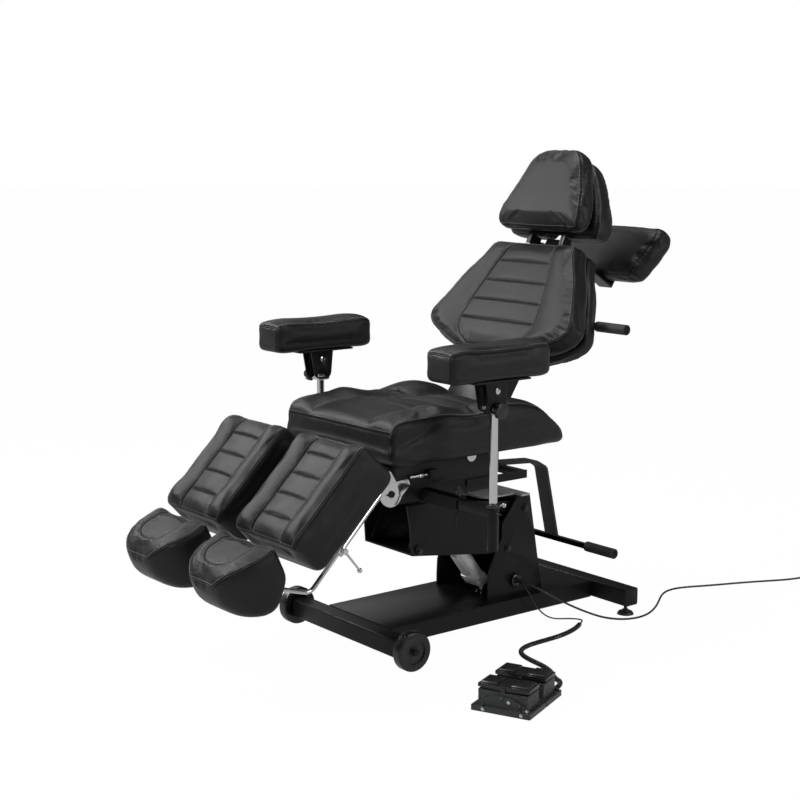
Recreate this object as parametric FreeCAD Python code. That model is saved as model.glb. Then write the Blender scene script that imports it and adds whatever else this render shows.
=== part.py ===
import FreeCAD, Part
import math
import os

V = FreeCAD.Vector

# Axes: +X points to the head end, -Y is the side of the sitter's left hand, +Z is up.
# The origin lies on the floor under the middle of the base. All lengths are millimetres.
# Names that end in share or shares are plain numbers, taken of the size beside them.

# Clearances
FIT = 0.05
GAP = 0.3
OVERRUN = 40.0

# Base: two square crossbars joined by a wide channel, the deck
BASE_LENGTH = 945.0
BAR_SIZE = 60.0
BAR_WALL = 3.0
BAR_CORNER = 7.0
FRONT_BAR_LENGTH = 586.0
REAR_BAR_LENGTH = 664.0
FRONT_BAR_LIFT = 31.0
REAR_BAR_LIFT = 35.0
DECK_WIDTH = 332.0
DECK_DEPTH = 57.0
DECK_SHEET = 4.0

# Wheels under the foot end
WHEEL_DIAMETER = 125.0
WHEEL_WIDTH = 35.0
WHEEL_ROUND = 6.0
WHEEL_RECESS = 5.0
WHEEL_DISH = 76.0
WHEEL_HUB = 34.0
AXLE_DIAMETER = 12.0
AXLE_HEAD = 24.0
AXLE_HEAD_DEPTH = 6.0

# Levelling feet under the head end
FOOT_DISC = 58.0
FOOT_DISC_DEPTH = 9.0
FOOT_STUD = 12.0
FOOT_STUD_LENGTH = 46.0
FOOT_NUT = 20.0
FOOT_NUT_DEPTH = 8.0
FOOT_INSET = 27.0

# Pedestal: two side plates and a rear web, standing on the deck
PEDESTAL_WIDTH = 270.0
PEDESTAL_LENGTH = 245.0
PEDESTAL_HEIGHT = 339.0
PEDESTAL_PLATE = 6.0
PEDESTAL_BACK = 236.0
PEDESTAL_OUTLINE_SHARES = (
    (0.0, 0.0), (0.0, 0.11), (0.012, 0.268), (0.045, 0.339), (0.11, 0.454), (0.192, 0.557),
    (0.245, 0.617), (0.245, 0.758), (0.327, 0.829), (0.518, 1.0), (0.755, 1.0),
    (0.927, 0.298), (1.0, 0.0),
)
COVER_THICKNESS = 6.0
COVER_LENGTH = 171.0
COVER_NOSE_WIDTH = 196.0
COVER_BACK_WIDTH = 256.0
COVER_BACK_LENGTH = 38.0
COVER_NOSE_RADIUS = 40.0
GROMMET_DIAMETER = 24.0
GROMMET_NECK = 16.0
GROMMET_REACH = 10.0
GROMMET_X_SHARE = 0.494
GROMMET_Z_SHARE = 0.161

# Lift: a parallelogram of one box arm and two upper bars, between pedestal and carrier
LOWER_PIVOT_X = 76.0
LOWER_PIVOT_RISE = 171.0
UPPER_PIVOT_FORWARD = 76.0
UPPER_PIVOT_RISE = 127.0
LINK_LENGTH = 380.0
LINK_SLOPE = 8.2
LINK_PIN = 16.0
PIN_HEAD = 26.0
PIN_HEAD_DEPTH = 5.0
ARM_WIDTH = 250.0
ARM_SHEET = 6.0
ARM_DEPTH = 149.0
ARM_EYE = 46.0
ARM_RIM = 14.0
ARM_OUTLINE_SHARES = (
    (1.064, -0.148), (0.142, -0.134), (-0.055, -0.16), (-0.055, 0.09), (0.042, 0.557),
    (0.358, 0.926), (0.726, 1.162), (1.139, 1.215), (1.118, 0.973), (1.081, 0.463),
)
ARM_FLOOR_SHARE = 0.57
ARM_SLOT_WIDTH = 150.0
UPPER_LINK_GAUGE = 222.0
UPPER_LINK_THICKNESS = 6.0
UPPER_LINK_DEPTH = 36.0
CARRIER_WIDTH = 204.0
CARRIER_SHEET = 6.0
CARRIER_RISE = 22.8
CARRIER_EYE = 40.0
CARRIER_PLATE_LENGTH = 180.0
TURN_DIAMETER = 176.0
TURN_THICKNESS = 4.0
TURN_REACH = 54.0
SPIGOT_DIAMETER = 40.0
SPIGOT_HEIGHT = 16.0

# Lift actuator: it stands on the deck and pushes the box arm's cross pin
MOTOR_PIN_X = 64.0
MOTOR_PIN_RISE = 17.0
MOTOR_PIN = 12.0
MOTOR_Y = -35.0
SPINDLE_DIAMETER = 44.0
MOTOR_DIAMETER = 40.0
MOTOR_PITCH = 47.0
MOTOR_LENGTH = 150.0
GEAR_START = 26.0
GEAR_DEPTH = 34.0
SPINDLE_END = 205.0
ROD_DIAMETER = 20.0
ROD_START = 100.0
EYE_THICKNESS = 18.0
EYE_DIAMETER = 34.0
EYE_PLAY = 3.6
CROSS_PIN_BACK = 176.0
CROSS_PIN_RISE = 68.0
BRACKET_THICKNESS = 5.0

# Swivel frame under the seat
FRAME_LENGTH = 405.0
FRAME_FRONT = 215.0
FRAME_WIDTH = 250.0
FRAME_HEIGHT = 86.0
FRAME_SHEET = 4.0
SLEEVE_FORWARD = 100.0
SLEEVE_SIZE = 38.0
SLEEVE_WALL = 4.0
SLEEVE_LENGTH = 600.0
SLEEVE_LIFT = 1.0
TAIL_BAR_LENGTH = 265.0
TAIL_BAR_DEPTH = 27.0
TAIL_BAR_THICKNESS = 6.0
TAIL_BAR_LIFT = 16.0
TAIL_BAR_REACH = 335.0
TAIL_CROSS = 24.0
TAIL_CROSS_INSET = 15.0
EAR_WIDTH = 60.0
PIVOT_REACH = 130.0
PIVOT_RISE = 40.0
PIVOT_DIAMETER = 20.0

# Seat
PAN_LENGTH = 440.0
PAN_FRONT = 330.0
PAN_WIDTH = 500.0
PAN_HEIGHT = 70.0
PAN_SHEET = 3.0
PAN_CORNER = 18.0
PAN_NOTCH = 36.0
SEAT_LENGTH = 723.0
SEAT_WIDTH = 590.0
SEAT_THICKNESS = 166.0
SEAT_OVERHANG = 31.0
SEAT_EDGE = 30.0
SEAT_PULL = 4.0
SEAT_CROWN = 4.0
SEAT_PANEL_SHARE = 0.56
SEAT_STATION_SHARES = (
    (1.0, 0.93, 0.03, 0.83, 0.01), (0.985, 0.96, 0.0, 0.70, 0.02), (0.943, 0.985, 0.0, 0.53, 0.04),
    (0.848, 1.0, 0.0, 0.22, 0.13), (0.741, 1.0, 0.0, 0.065, 0.20), (0.658, 1.0, 0.0, 0.03, 0.22),
    (0.527, 1.0, 0.0, 0.12, 0.14), (0.333, 1.0, 0.0, 0.075, 0.11), (0.153, 1.0, 0.0, 0.08, 0.09),
    (0.04, 0.995, 0.02, 0.125, 0.07), (0.014, 0.98, 0.08, 0.20, 0.06), (0.0, 0.96, 0.17, 0.33, 0.04),
)
SEAT_CHANNEL_SHARES = (0.26, 0.38, 0.50, 0.62)
SEAT_SLOT_WIDTH = 250.0
SEAT_SLOT_ANGLE = 6.0
CHANNEL_RADIUS = 7.0
CHANNEL_DEPTH = 3.5
CHANNEL_WIDTH_SHARE = 0.97

# Back
BACK_ANGLE = 56.8
BACK_TOP = 753.5
BACK_FACE = 83.2
BACK_LENGTH = 418.0
BACK_WIDTH = 712.0
BACK_FRONT_THICKNESS = 78.0
BACK_PLATE = 6.0
BACK_REAR_THICKNESS = 52.0
BACK_EDGE = 20.0
BACK_PULL = 2.0
BACK_CROWN = 3.0
BACK_PANEL_SHARE = 0.55
BACK_STATION_SHARES = (
    (0.0, 0.545, 0.16, 0.16, 0.02), (0.03, 0.585, 0.04, 0.05, 0.08), (0.10, 0.62, 0.0, 0.0, 0.14),
    (0.32, 0.785, 0.0, 0.0, 0.16), (0.57, 0.93, 0.0, 0.0, 0.16), (0.76, 1.0, 0.0, 0.0, 0.15),
    (0.84, 0.93, 0.0, 0.01, 0.13), (0.91, 0.77, 0.0, 0.03, 0.09), (0.975, 0.56, 0.05, 0.08, 0.05),
    (1.0, 0.50, 0.16, 0.18, 0.02),
)
BACK_CHANNEL_SHARES = (0.196, 0.383, 0.565, 0.744)
COLUMN_WIDTH = 236.0
COLUMN_FRONT = 44.0
COLUMN_DEPTH = 65.0
COLUMN_WALL = 4.0
COLUMN_EYE = 40.0
BACK_PLATE_WIDTH = 300.0
BACK_PLATE_INSET = 70.0
NECK_WIDTH = 60.0
NECK_RISE = 48.0
LEVER_THICKNESS = 10.0
LEVER_LENGTH = 90.0
LEVER_WIDTH = 44.0
LEVER_LEAN = 16.0
LEVER_PIN = 12.0
LEVER_PIN_DROP = 57.6
LEVER_SLOT_START = 47.0
LEVER_SLOT_END = 80.0
LEVER_SLOT_WIDTH = 20.0
GUIDE_SIZE = 22.0
GUIDE_LENGTH = 90.0
GUIDE_INSET = 6.0
GUIDE_Y = 62.0
STUB_SIZE = 40.0
STUB_DROP = 222.0
STUB_CLEARANCE = 1.0

# Back actuator, fixed in the swivel frame
BACK_MOTOR_DIAMETER = 34.0
BACK_MOTOR_END = 220.0
BACK_ROD_DIAMETER = 16.0
BACK_ROD_INSIDE = 75.0
FORK_WIDTH = 26.0
FORK_LENGTH = 68.0
FORK_CHEEK = 7.0

# Handle bar across the rear of the back, and the foot bar at the rear
HANDLE_LENGTH = 866.0
HANDLE_TUBE = 25.0
HANDLE_GRIP = 34.0
HANDLE_GRIP_LENGTH = 130.0
HANDLE_CLAMP = 44.0
HANDLE_OUT = 19.0
STRAP_WIDTH = 60.0
STRAP_THICKNESS = 9.0
STRAP_FORWARD = 29.0
STRAP_REACH = 168.0
STRAP_FALL = 10.0
STRAP_BEND_REACH = 217.0
STRAP_BEND_FALL = 38.0
STRAP_END_REACH = 276.0
STRAP_END_FALL = 300.0
STRAP_BEND = 26.0
FOOT_BAR_LENGTH = 610.0
FOOT_BAR_DIAMETER = 22.0
FOOT_GRIP_DIAMETER = 35.0
FOOT_GRIP_LENGTH = 130.0

# Headrest: two stacked pads on a tilting plate, held by two rods that slide in the back
HEAD_TILT = 9.0
HEAD_PIN_RISE = 30.0
HEAD_PIN_DEPTH = 94.0
HEAD_ROD = 12.0
HEAD_PIN = 8.0
HEAD_EYE = 20.0
HEAD_EYE_WIDTH = 15.0
HEAD_BOTTOM = 27.9
HEAD_FACE = 126.7
HEAD_LENGTH = 287.0
HEAD_WIDTH = 414.0
HEAD_FRONT_THICKNESS = 78.0
HEAD_PLATE = 4.0
HEAD_PLATE_WIDTH = 180.0
HEAD_PLATE_LENGTH = 225.0
HEAD_REAR_THICKNESS = 88.0
HEAD_REAR_WIDTH = 446.0
HEAD_REAR_LENGTH = 276.0
HEAD_EDGE = 26.0
HEAD_PULL = 2.0
HEAD_CROWN = 9.0
HEAD_STATION_SHARES = (
    (0.0, 0.36, 0.24, 0.26), (0.035, 0.46, 0.08, 0.10), (0.12, 0.60, 0.0, 0.02),
    (0.25, 0.70, 0.0, 0.0), (0.545, 0.88, 0.0, 0.0), (0.86, 0.99, 0.0, 0.0),
    (0.965, 0.97, 0.06, 0.08), (1.0, 0.91, 0.22, 0.26),
)
HEAD_REAR_STATION_SHARES = (
    (0.0, 0.30, 0.24, 0.26), (0.035, 0.38, 0.08, 0.10), (0.12, 0.50, 0.0, 0.02),
    (0.25, 0.63, 0.0, 0.0), (0.545, 0.86, 0.0, 0.0), (0.86, 1.0, 0.0, 0.0),
    (0.965, 0.98, 0.06, 0.08), (1.0, 0.92, 0.22, 0.26),
)
HEAD_EAR = 6.0
HEAD_EAR_Y = 71.0
HEAD_NOTCH_WIDTH = 76.0
HEAD_NOTCH_DEPTH = 34.0

# Rear rest pad, on an arm that leaves the top of the back
REST_RISE = 52.0
REST_LENGTH = 204.0
REST_WIDTH = 490.0
REST_THICKNESS = 100.0
REST_DEPTH = 286.0
REST_EDGE = 34.0
REST_CROWN = 8.0
REST_ARM_THICKNESS = 8.0
REST_ARM_CLIMB = 110.0
REST_STATION_SHARES = (
    (0.0, 0.55, 0.28, 0.28), (0.04, 0.72, 0.10, 0.10), (0.16, 0.88, 0.0, 0.0),
    (0.42, 1.0, 0.0, 0.0), (0.70, 0.97, 0.0, 0.0), (0.88, 0.84, 0.02, 0.02),
    (0.965, 0.66, 0.12, 0.12), (1.0, 0.50, 0.28, 0.28),
)

# Armrests
BEAM_SIZE = 30.0
BEAM_START = 130.0
SOCKET_Y = 450.0
SOCKET_DIAMETER = 35.0
SOCKET_LENGTH = 130.0
SOCKET_RISE = 11.0
CLAMP_BOLT = 8.0
CLAMP_BOLT_LENGTH = 22.0
POST_DIAMETER = 26.0
POST_LENGTH = 510.0
POST_PIVOT_DROP = 18.3
HEAD_BLOCK_WIDTH = 44.0
HEAD_BLOCK_LENGTH = 44.0
CLEVIS_PLATE = 5.0
CLEVIS_LENGTH = 92.0
CLEVIS_HEIGHT = 97.0
CLEVIS_FOOT_SHARE = 0.7
CLEVIS_LEAN = 4.0
CLEVIS_FOOT_RADIUS = 22.0
ARM_TILT_PIN = 10.0
ARM_TILT_DROP = 30.0
ARM_TILT_FORWARD = 11.0
TILT_SLOT_DROP = 57.0
TILT_SLOT_WIDTH = 9.0
TILT_SLOT_ANGLE = 14.0
PAD_PLATE_LENGTH = 220.0
PAD_PLATE_WIDTH = 110.0
PAD_PLATE = 6.0
ARM_PAD_LENGTH = 392.0
ARM_PAD_WIDTH = 135.0
ARM_PAD_THICKNESS = 100.0
ARM_PAD_BACK = 176.0
ARM_PAD_EDGE = 18.0
ARM_PAD_CROWN = 5.0
ARM_PAD_PULL = 2.0
ARM_PAD_STATION_SHARES = (
    (0.0, 0.80, 0.10, 0.12), (0.02, 0.93, 0.03, 0.04), (0.06, 0.985, 0.0, 0.0), (0.2, 1.0, 0.0, 0.0),
    (0.8, 1.0, 0.0, 0.0), (0.94, 0.985, 0.0, 0.0), (0.98, 0.93, 0.03, 0.04), (1.0, 0.80, 0.10, 0.12),
)
KNOB_DIAMETER = 50.0
KNOB_DEPTH = 17.0
KNOB_LOBES = 5
KNOB_NOTCH_SHARE = 0.34
KNOB_NOTCH_SEAT_SHARE = 1.18
KNOB_HUB = 18.0
KNOB_NECK = 7.0
KNOB_STUD = 8.0
BEAM_KNOB_DIAMETER = 44.0
BEAM_KNOB_DEPTH = 15.0
BEAM_BOSS = 20.0
BEAM_BOSS_LENGTH = 22.0
BEAM_KNOB_INSET = 20.0
HOOK_DIAMETER = 6.0
HOOK_Y = 276.0
HOOK_OUT = 16.0
HOOK_DROP = 64.0
HOOK_BEND = 10.0

# Leg rests
LEG_ANGLE = 45.4
LEG_PIVOT_FORWARD = 11.0
LEG_PIVOT_DROP = 10.0
LEG_PLATE_Y = 258.0
LEG_PLATE = 6.0
LEG_PIVOT_PIN = 12.0
SECTOR_RADIUS = 40.0
SECTOR_HORN = 74.0
SECTOR_HORN_ANGLE = 103.0
SECTOR_EAR = 74.0
SECTOR_EAR_ANGLE = 24.0
SECTOR_EAR_WIDTH = 22.0
LUG_LENGTH = 74.0
LUG_HEIGHT = 56.0
LUG_THICKNESS = 7.0
LEG_TUBE = 22.0
LEG_TUBE_BACK = 36.0
LEG_TUBE_START = 26.0
LEG_TUBE_END = 236.0
LEG_PAD_TOP = 13.1
LEG_PAD_FACE = 264.4
LEG_PAD_LENGTH = 370.0
LEG_PAD_INNER = 37.0
LEG_PAD_OUTER = 370.0
LEG_PAD_THICKNESS = 165.0
LEG_PAD_EDGE = 22.0
LEG_PAD_PULL = 3.0
LEG_PAD_CROWN = 3.0
LEG_PANEL_SHARE = 0.52
LEG_STATION_SHARES = (
    (0.0, 0.90, 0.12, 0.11, 0.02), (0.02, 0.965, 0.04, 0.04, 0.06), (0.06, 0.99, 0.006, 0.0, 0.09),
    (0.25, 1.0, 0.025, 0.0, 0.10), (0.50, 1.0, 0.05, 0.0, 0.10), (0.75, 1.0, 0.075, 0.0, 0.10),
    (0.94, 0.99, 0.094, 0.0, 0.09), (0.98, 0.965, 0.13, 0.04, 0.06), (1.0, 0.90, 0.21, 0.11, 0.02),
)
LEG_CHANNEL_SHARES = (0.19, 0.39, 0.59, 0.79)
LEG_BOARD_SLOPE_SHARE = 0.1
LEG_BOARD_THICKNESS = 5.0
LEG_BOARD_WIDTH = 230.0
LEG_BOARD_LENGTH = 270.0
LEG_BOARD_INSET = 45.0
LEG_STANDOFF = 8.0
LEG_STANDOFF_LENGTH = 46.0
LEG_STANDOFF_SHARES = (0.22, 0.66)
LEG_ROD = 14.0
LEG_ROD_INSIDE = 70.0
LEG_ROD_END = 392.0
LEG_ROD_BEND = 34.0
LEG_COLLAR = 32.0
LEG_COLLAR_LENGTH = 26.0
LEVER_ROD = 8.0
LEVER_REACH = 86.0
LEVER_KNOB = 16.0
LEVER_HUB = 18.0
LEVER_HUB_DEPTH = 14.0
LEVER_DROP_ANGLE = 84.0
FOOT_FORWARD = 374.0
FOOT_FACE = 281.9
FOOT_TILT = 22.1
FOOT_LENGTH = 197.0
FOOT_THICKNESS = 182.0
FOOT_WIDTH = 306.0
FOOT_INWARD = 16.0
FOOT_EDGE = 26.0
FOOT_PULL = 2.0
FOOT_CROWN = 4.0
FOOT_PANEL_SHARE = 0.6
FOOT_STATION_SHARES = (
    (0.0, 0.92, 0.40, 0.05, 0.01), (0.03, 0.97, 0.34, 0.0, 0.03), (0.16, 1.0, 0.20, 0.0, 0.05),
    (0.32, 1.0, 0.02, 0.0, 0.05), (0.57, 0.93, 0.0, 0.0, 0.05), (0.77, 0.79, 0.09, 0.02, 0.04),
    (0.92, 0.60, 0.27, 0.08, 0.02), (1.0, 0.40, 0.42, 0.20, 0.01),
)
FOOT_PLATE_LENGTH = 56.0
FOOT_PLATE_WIDTH = 70.0
FOOT_PLATE = 5.0
FOOT_PLATE_AT_SHARE = 0.165
FOOT_PLATE_SLOPE = 40.6
PLUNGER_DIAMETER = 9.0
PLUNGER_COLLAR = 15.0
PLUNGER_COLLAR_LENGTH = 16.0
PLUNGER_BLOCK = 30.0
PLUNGER_BLOCK_X = 156.0
PLUNGER_RISE = 43.0
PLUNGER_GAP = 1.5

# Foot switch: two like units side by side on the floor
PEDAL_X = -404.0
PEDAL_Y = -712.5
PEDAL_TURN = -66.3
PEDAL_LENGTH = 184.0
PEDAL_UNIT = 118.0
PEDAL_SPLIT = 2.0
PEDAL_BASE_HEIGHT = 16.0
PEDAL_ARCH = 50.0
PEDAL_CHEEK = 6.0
PEDAL_BODY_LENGTH = 156.0
PEDAL_BODY_WIDTH = 84.0
PEDAL_BODY_HEIGHT = 60.0
PEDAL_ROCKER_LENGTH = 160.0
PEDAL_ROCKER_WIDTH = 72.0
PEDAL_ROCKER_THICKNESS = 10.0
PEDAL_PAD_LENGTH = 52.0
PEDAL_PAD_HEIGHT = 7.0
PEDAL_ROCK = 4.0
PEDAL_RIM = 6.0
PEDAL_SCREW = 11.0
PEDAL_PIN = 6.0
PEDAL_EAR = 12.0
PEDAL_SCREW_SHARES = ((-0.32, 0.34), (0.0, 0.84), (0.3, 0.6), (0.38, 0.34))

# Leads: routes on the floor are kept as chosen points
MAINS_DIAMETER = 7.0
PEDAL_WIRE = 5.0
CURL_DIAMETER = 16.0
CURLS = 88
LEAD_SPREAD = 4.0
COIL_RADIUS = 49.0
COIL_STEP = 8.2
COIL_RISE = 8.8
COIL_TURNS = 3
COIL_TAIL = 38.0
PLUG_NECK = 14.0
PLUG_HEIGHT = 24.0
PLUG_NECK_LENGTH = 30.0
PLUG_LENGTH = 40.0
PLUG_WIDTH = 34.0
PLUG_PIN = 4.8
PLUG_PIN_LENGTH = 19.0
PLUG_PIN_PITCH = 19.0
PLUG_CORNER = 6.0
GLAND_DIAMETER = 11.0
GLAND_LENGTH = 12.0
GLAND_X_SHARE = 0.35
MAINS_ROUTE = (
    (113.6, -168.9, 148.7), (124.4, -197.6, 141), (144.2, -218.4, 127.1), (168, -232.6, 111.1),
    (193.2, -243.4, 94.7), (218.9, -253.6, 78.6), (245, -264, 63.2), (271.5, -274.8, 48.9),
    (298, -286.6, 35.5), (346.9, -313.3, 13.4), (396, -346.1, 3.9), (449.6, -372.3, 3.6),
    (508.9, -368.3, 3.6), (564.6, -346.2, 3.6), (616.5, -316.2, 3.6), (665.8, -282.1, 3.6),
    (714.5, -247, 3.6), (766.4, -217.2, 3.6), (825.2, -208.4, 3.6), (882.4, -225.4, 3.6),
    (936.4, -251.5, 3.6), (991.7, -274.7, 3.6), (1047.5, -296.9, 3.6), (1102.8, -320.2, 3.6),
    (1157, -345.8, 3.6), (1210.8, -372.4, 3.6), (1266.3, -395.1, 3.6), (1330, -408, 3.6),
)
PEDAL_LEAD_ROUTE = (
    (112.8, -158.9, 140.2), (116, -177.2, 130.9), (121.9, -189.8, 115.3), (128.9, -197.9, 97.3),
    (137.7, -202.4, 78.8), (149, -204.6, 61.3), (162.5, -205.8, 45.3), (178.1, -206.8, 31.3),
    (195.3, -208, 19.4), (214.2, -210, 10.4), (234.1, -213.8, 5.2), (253.9, -220.4, 3), (272.1, -230.8, 2.7),
    (286.3, -246.2, 3.1), (292.1, -265.9, 4.7), (285.1, -285.1, 7.4),
)
CURL_ROUTE = (
    (262, -302, 8.1), (226, -325, 8.1), (172, -348, 8.1), (101, -364, 8.1), (20, -366, 8.1), (-48, -370, 8.1),
    (-98, -392, 8.1), (-126, -436, 8.1), (-136, -494, 8.1), (-142, -550, 8.1), (-160, -602, 8.1),
    (-192, -648, 8.1),
)


def bar(x0, x1, y0, y1, z0, z1):
    return Part.makeBox(x1 - x0, y1 - y0, z1 - z0, V(x0, y0, z0))


def rod(start, direction, diameter, length):
    return Part.makeCylinder(diameter / 2, length, start, direction)


def lateral(x, z, y0, y1, diameter):
    return rod(V(x, y0, z), V(0, 1, 0), diameter, y1 - y0)


def joined(shapes):
    whole = shapes[0]
    for shape in shapes[1:]:
        whole = whole.fuse(shape)
    return whole.removeSplitter()


def minus(shape, cutters):
    for cutter in cutters:
        shape = shape.cut(cutter)
    return shape


def mirrored(shape):
    return shape.mirror(V(0, 0, 0), V(0, 1, 0))


def turned(shape, angle):
    copy = shape.copy()
    copy.rotate(V(0, 0, 0), V(0, 1, 0), -angle)
    return copy


def placed(shape, origin, angle):
    copy = turned(shape, angle)
    copy.translate(origin)
    return copy


def world(origin, angle, point):
    turn = FreeCAD.Rotation(V(0, 1, 0), -angle)
    return origin + turn.multVec(point)


def rounded_path(points, radii, closed):
    count = len(points)
    edges = []
    joints = []
    for i in range(count):
        radius = radii[i]
        inner = closed or 0 < i < count - 1
        if not inner or radius <= 0:
            joints.append((points[i], None, points[i]))
            continue
        before = points[i - 1] - points[i]
        after = points[(i + 1) % count] - points[i]
        before.normalize()
        after.normalize()
        half = before.getAngle(after) / 2
        reach = radius / math.tan(half)
        middle = before + after
        middle.normalize()
        sink = radius / math.sin(half) - radius
        joints.append((points[i] + before * reach, points[i] + middle * sink, points[i] + after * reach))
    last = count if closed else count - 1
    for i in range(count):
        enter, mid, leave = joints[i]
        if mid is not None:
            edges.append(Part.Arc(enter, mid, leave).toShape())
        if i < last:
            following = joints[(i + 1) % count][0]
            if (following - leave).Length > FIT:
                edges.append(Part.LineSegment(leave, following).toShape())
    return Part.Wire(edges)


def slab(points, radii, direction):
    return Part.Face(rounded_path(points, radii, True)).extrude(direction)


def side_plate(outline, radius, y0, y1):
    points = [V(x, y0, z) for x, z in outline]
    return slab(points, [radius] * len(points), V(0, y1 - y0, 0))


def round_bar(points, radius, diameter):
    radii = [radius] * len(points)
    path = rounded_path(points, radii, False)
    direction = points[1] - points[0]
    ring = Part.Wire(Part.Circle(points[0], direction, diameter / 2).toShape())
    return path.makePipeShell([ring], True, False)


def arc_to(edges, start, middle, end):
    edges.append(Part.Arc(start, middle, end).toShape())
    return end


def seamed_ring(x, y, half, low, high, recess, edge, pull, crown, panel):
    # One cross section: flat underside, drawn-in sides, crowned bolsters, a seam and a panel
    tall = high - low
    r = min(edge, tall * 0.45)
    flat = tall - r * 2
    draw = min(pull, flat * 0.3)
    k = r * (1 - math.sqrt(0.5))
    seam = (half - r) * panel
    crest = (half - r + seam) / 2
    rise = crown * min(1, tall / (edge * 2))
    valley = high - recess
    middle = high - recess * 0.55
    half_points = [
        (half - r, low), (half - k, low + k), (half, low + r), (half - draw, (low + high) / 2),
        (half, high - r), (half - k, high - k), (half - r, high), (crest, high + rise * 0.7),
        (seam, valley),
    ]
    right = [V(x, y + a, b) for a, b in half_points]
    left = [V(x, y - a, b) for a, b in half_points]
    edges = [Part.LineSegment(left[0], right[0]).toShape()]
    for i in (0, 2, 4, 6):
        arc_to(edges, right[i], right[i + 1], right[i + 2])
    arc_to(edges, right[8], V(x, y, middle), left[8])
    for i in (8, 6, 4, 2):
        arc_to(edges, left[i], left[i - 1], left[i - 2])
    return Part.Wire(edges)


def plain_ring(x, y, half, low, high, edge, pull, crown):
    tall = high - low
    r = min(edge, tall * 0.45)
    flat = tall - r * 2
    draw = min(pull, flat * 0.3)
    k = r * (1 - math.sqrt(0.5))
    rise = crown * min(1, tall / (edge * 2))
    half_points = [
        (half - r, low), (half - k, low + k), (half, low + r), (half - draw, (low + high) / 2),
        (half, high - r), (half - k, high - k), (half - r, high),
    ]
    right = [V(x, y + a, b) for a, b in half_points]
    left = [V(x, y - a, b) for a, b in half_points]
    edges = [Part.LineSegment(left[0], right[0]).toShape()]
    for i in (0, 2, 4):
        arc_to(edges, right[i], right[i + 1], right[i + 2])
    arc_to(edges, right[6], V(x, y, high + rise), left[6])
    for i in (6, 4, 2):
        arc_to(edges, left[i], left[i - 1], left[i - 2])
    return Part.Wire(edges)


def seamed_cushion(length, width, thickness, rows, edge, pull, crown, panel, y=0):
    rings = []
    for along, wide, lift, drop, recess in rows:
        rings.append(seamed_ring(
            -along * length, y, wide * width / 2, thickness * (lift - 1), -thickness * drop,
            thickness * recess, edge, pull, crown, panel))
    return Part.makeLoft(rings, True, False)


def plain_cushion(length, width, thickness, rows, edge, pull, crown, y=0):
    rings = []
    for along, wide, lift, drop in rows:
        rings.append(plain_ring(
            -along * length, y, wide * width / 2, thickness * (lift - 1), -thickness * drop,
            edge, pull, crown))
    return Part.makeLoft(rings, True, False)


def row_at(rows, along):
    ordered = sorted(rows)
    for first, second in zip(ordered, ordered[1:]):
        if first[0] <= along <= second[0]:
            t = (along - first[0]) / (second[0] - first[0])
            return [a + (b - a) * t for a, b in zip(first, second)]
    return ordered[-1]


def cross_channels(length, width, thickness, rows, shares, edge, panel, y=0):
    # Sewn channels across the panel, as round-bottomed grooves
    cutters = []
    for along in shares:
        row = row_at(rows, along)
        top = -thickness * row[3] - thickness * row[4] * 0.75
        half = (row[1] * width / 2 - edge) * panel * CHANNEL_WIDTH_SHARE
        axis = top + CHANNEL_RADIUS - CHANNEL_DEPTH
        cutters.append(lateral(-along * length, axis, y - half, y + half, CHANNEL_RADIUS * 2))
    return cutters


# Heights and places that follow one another up the chair
FRONT_X = -BASE_LENGTH / 2
REAR_X = BASE_LENGTH / 2
DECK_TOP = FRONT_BAR_LIFT + BAR_SIZE
PEDESTAL_FRONT = PEDESTAL_BACK - PEDESTAL_LENGTH
PEDESTAL_TOP = DECK_TOP + PEDESTAL_HEIGHT
LOWER_PIVOT = V(LOWER_PIVOT_X, 0, DECK_TOP + LOWER_PIVOT_RISE)
UPPER_PIVOT = LOWER_PIVOT + V(UPPER_PIVOT_FORWARD, 0, UPPER_PIVOT_RISE)
LINK_RUN = LINK_LENGTH * math.cos(math.radians(LINK_SLOPE))
LINK_CLIMB = LINK_LENGTH * math.sin(math.radians(LINK_SLOPE))
LINK = V(-LINK_RUN, 0, LINK_CLIMB)
LOWER_FRONT = LOWER_PIVOT + LINK
UPPER_FRONT = UPPER_PIVOT + LINK
TURN_X = UPPER_FRONT.x + TURN_REACH
CARRIER_TOP = UPPER_FRONT.z + CARRIER_RISE
FRAME_BOTTOM = CARRIER_TOP + TURN_THICKNESS * 2
FRAME_X0 = TURN_X - FRAME_FRONT
FRAME_X1 = FRAME_X0 + FRAME_LENGTH
PAN_BOTTOM = FRAME_BOTTOM + FRAME_HEIGHT
PAN_TOP = PAN_BOTTOM + PAN_HEIGHT
PAN_X0 = TURN_X - PAN_FRONT
PAN_X1 = PAN_X0 + PAN_LENGTH
BACK_PIVOT = V(TURN_X + PIVOT_REACH, 0, PAN_BOTTOM + PIVOT_RISE)
SLEEVE_X = TURN_X - SLEEVE_FORWARD
SLEEVE_Z = FRAME_BOTTOM + SLEEVE_LIFT + SLEEVE_SIZE / 2
MOTOR_PIVOT = V(MOTOR_PIN_X, 0, DECK_TOP + MOTOR_PIN_RISE)
CROSS_PIN = LOWER_PIVOT + V(-CROSS_PIN_BACK, 0, CROSS_PIN_RISE)
HEAD_ANGLE = BACK_ANGLE + HEAD_TILT
HEAD_PIVOT = world(BACK_PIVOT, BACK_ANGLE, V(BACK_TOP + HEAD_PIN_RISE, 0, BACK_FACE - HEAD_PIN_DEPTH))
LEG_PIVOT = V(PAN_X0 - LEG_PIVOT_FORWARD, 0, PAN_BOTTOM - LEG_PIVOT_DROP)
SOCKET_BOTTOM = SLEEVE_Z + SOCKET_RISE - SOCKET_LENGTH
LEG_PAD_WIDTH = LEG_PAD_OUTER - LEG_PAD_INNER
LEG_PAD_Y = -(LEG_PAD_OUTER + LEG_PAD_INNER) / 2
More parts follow.
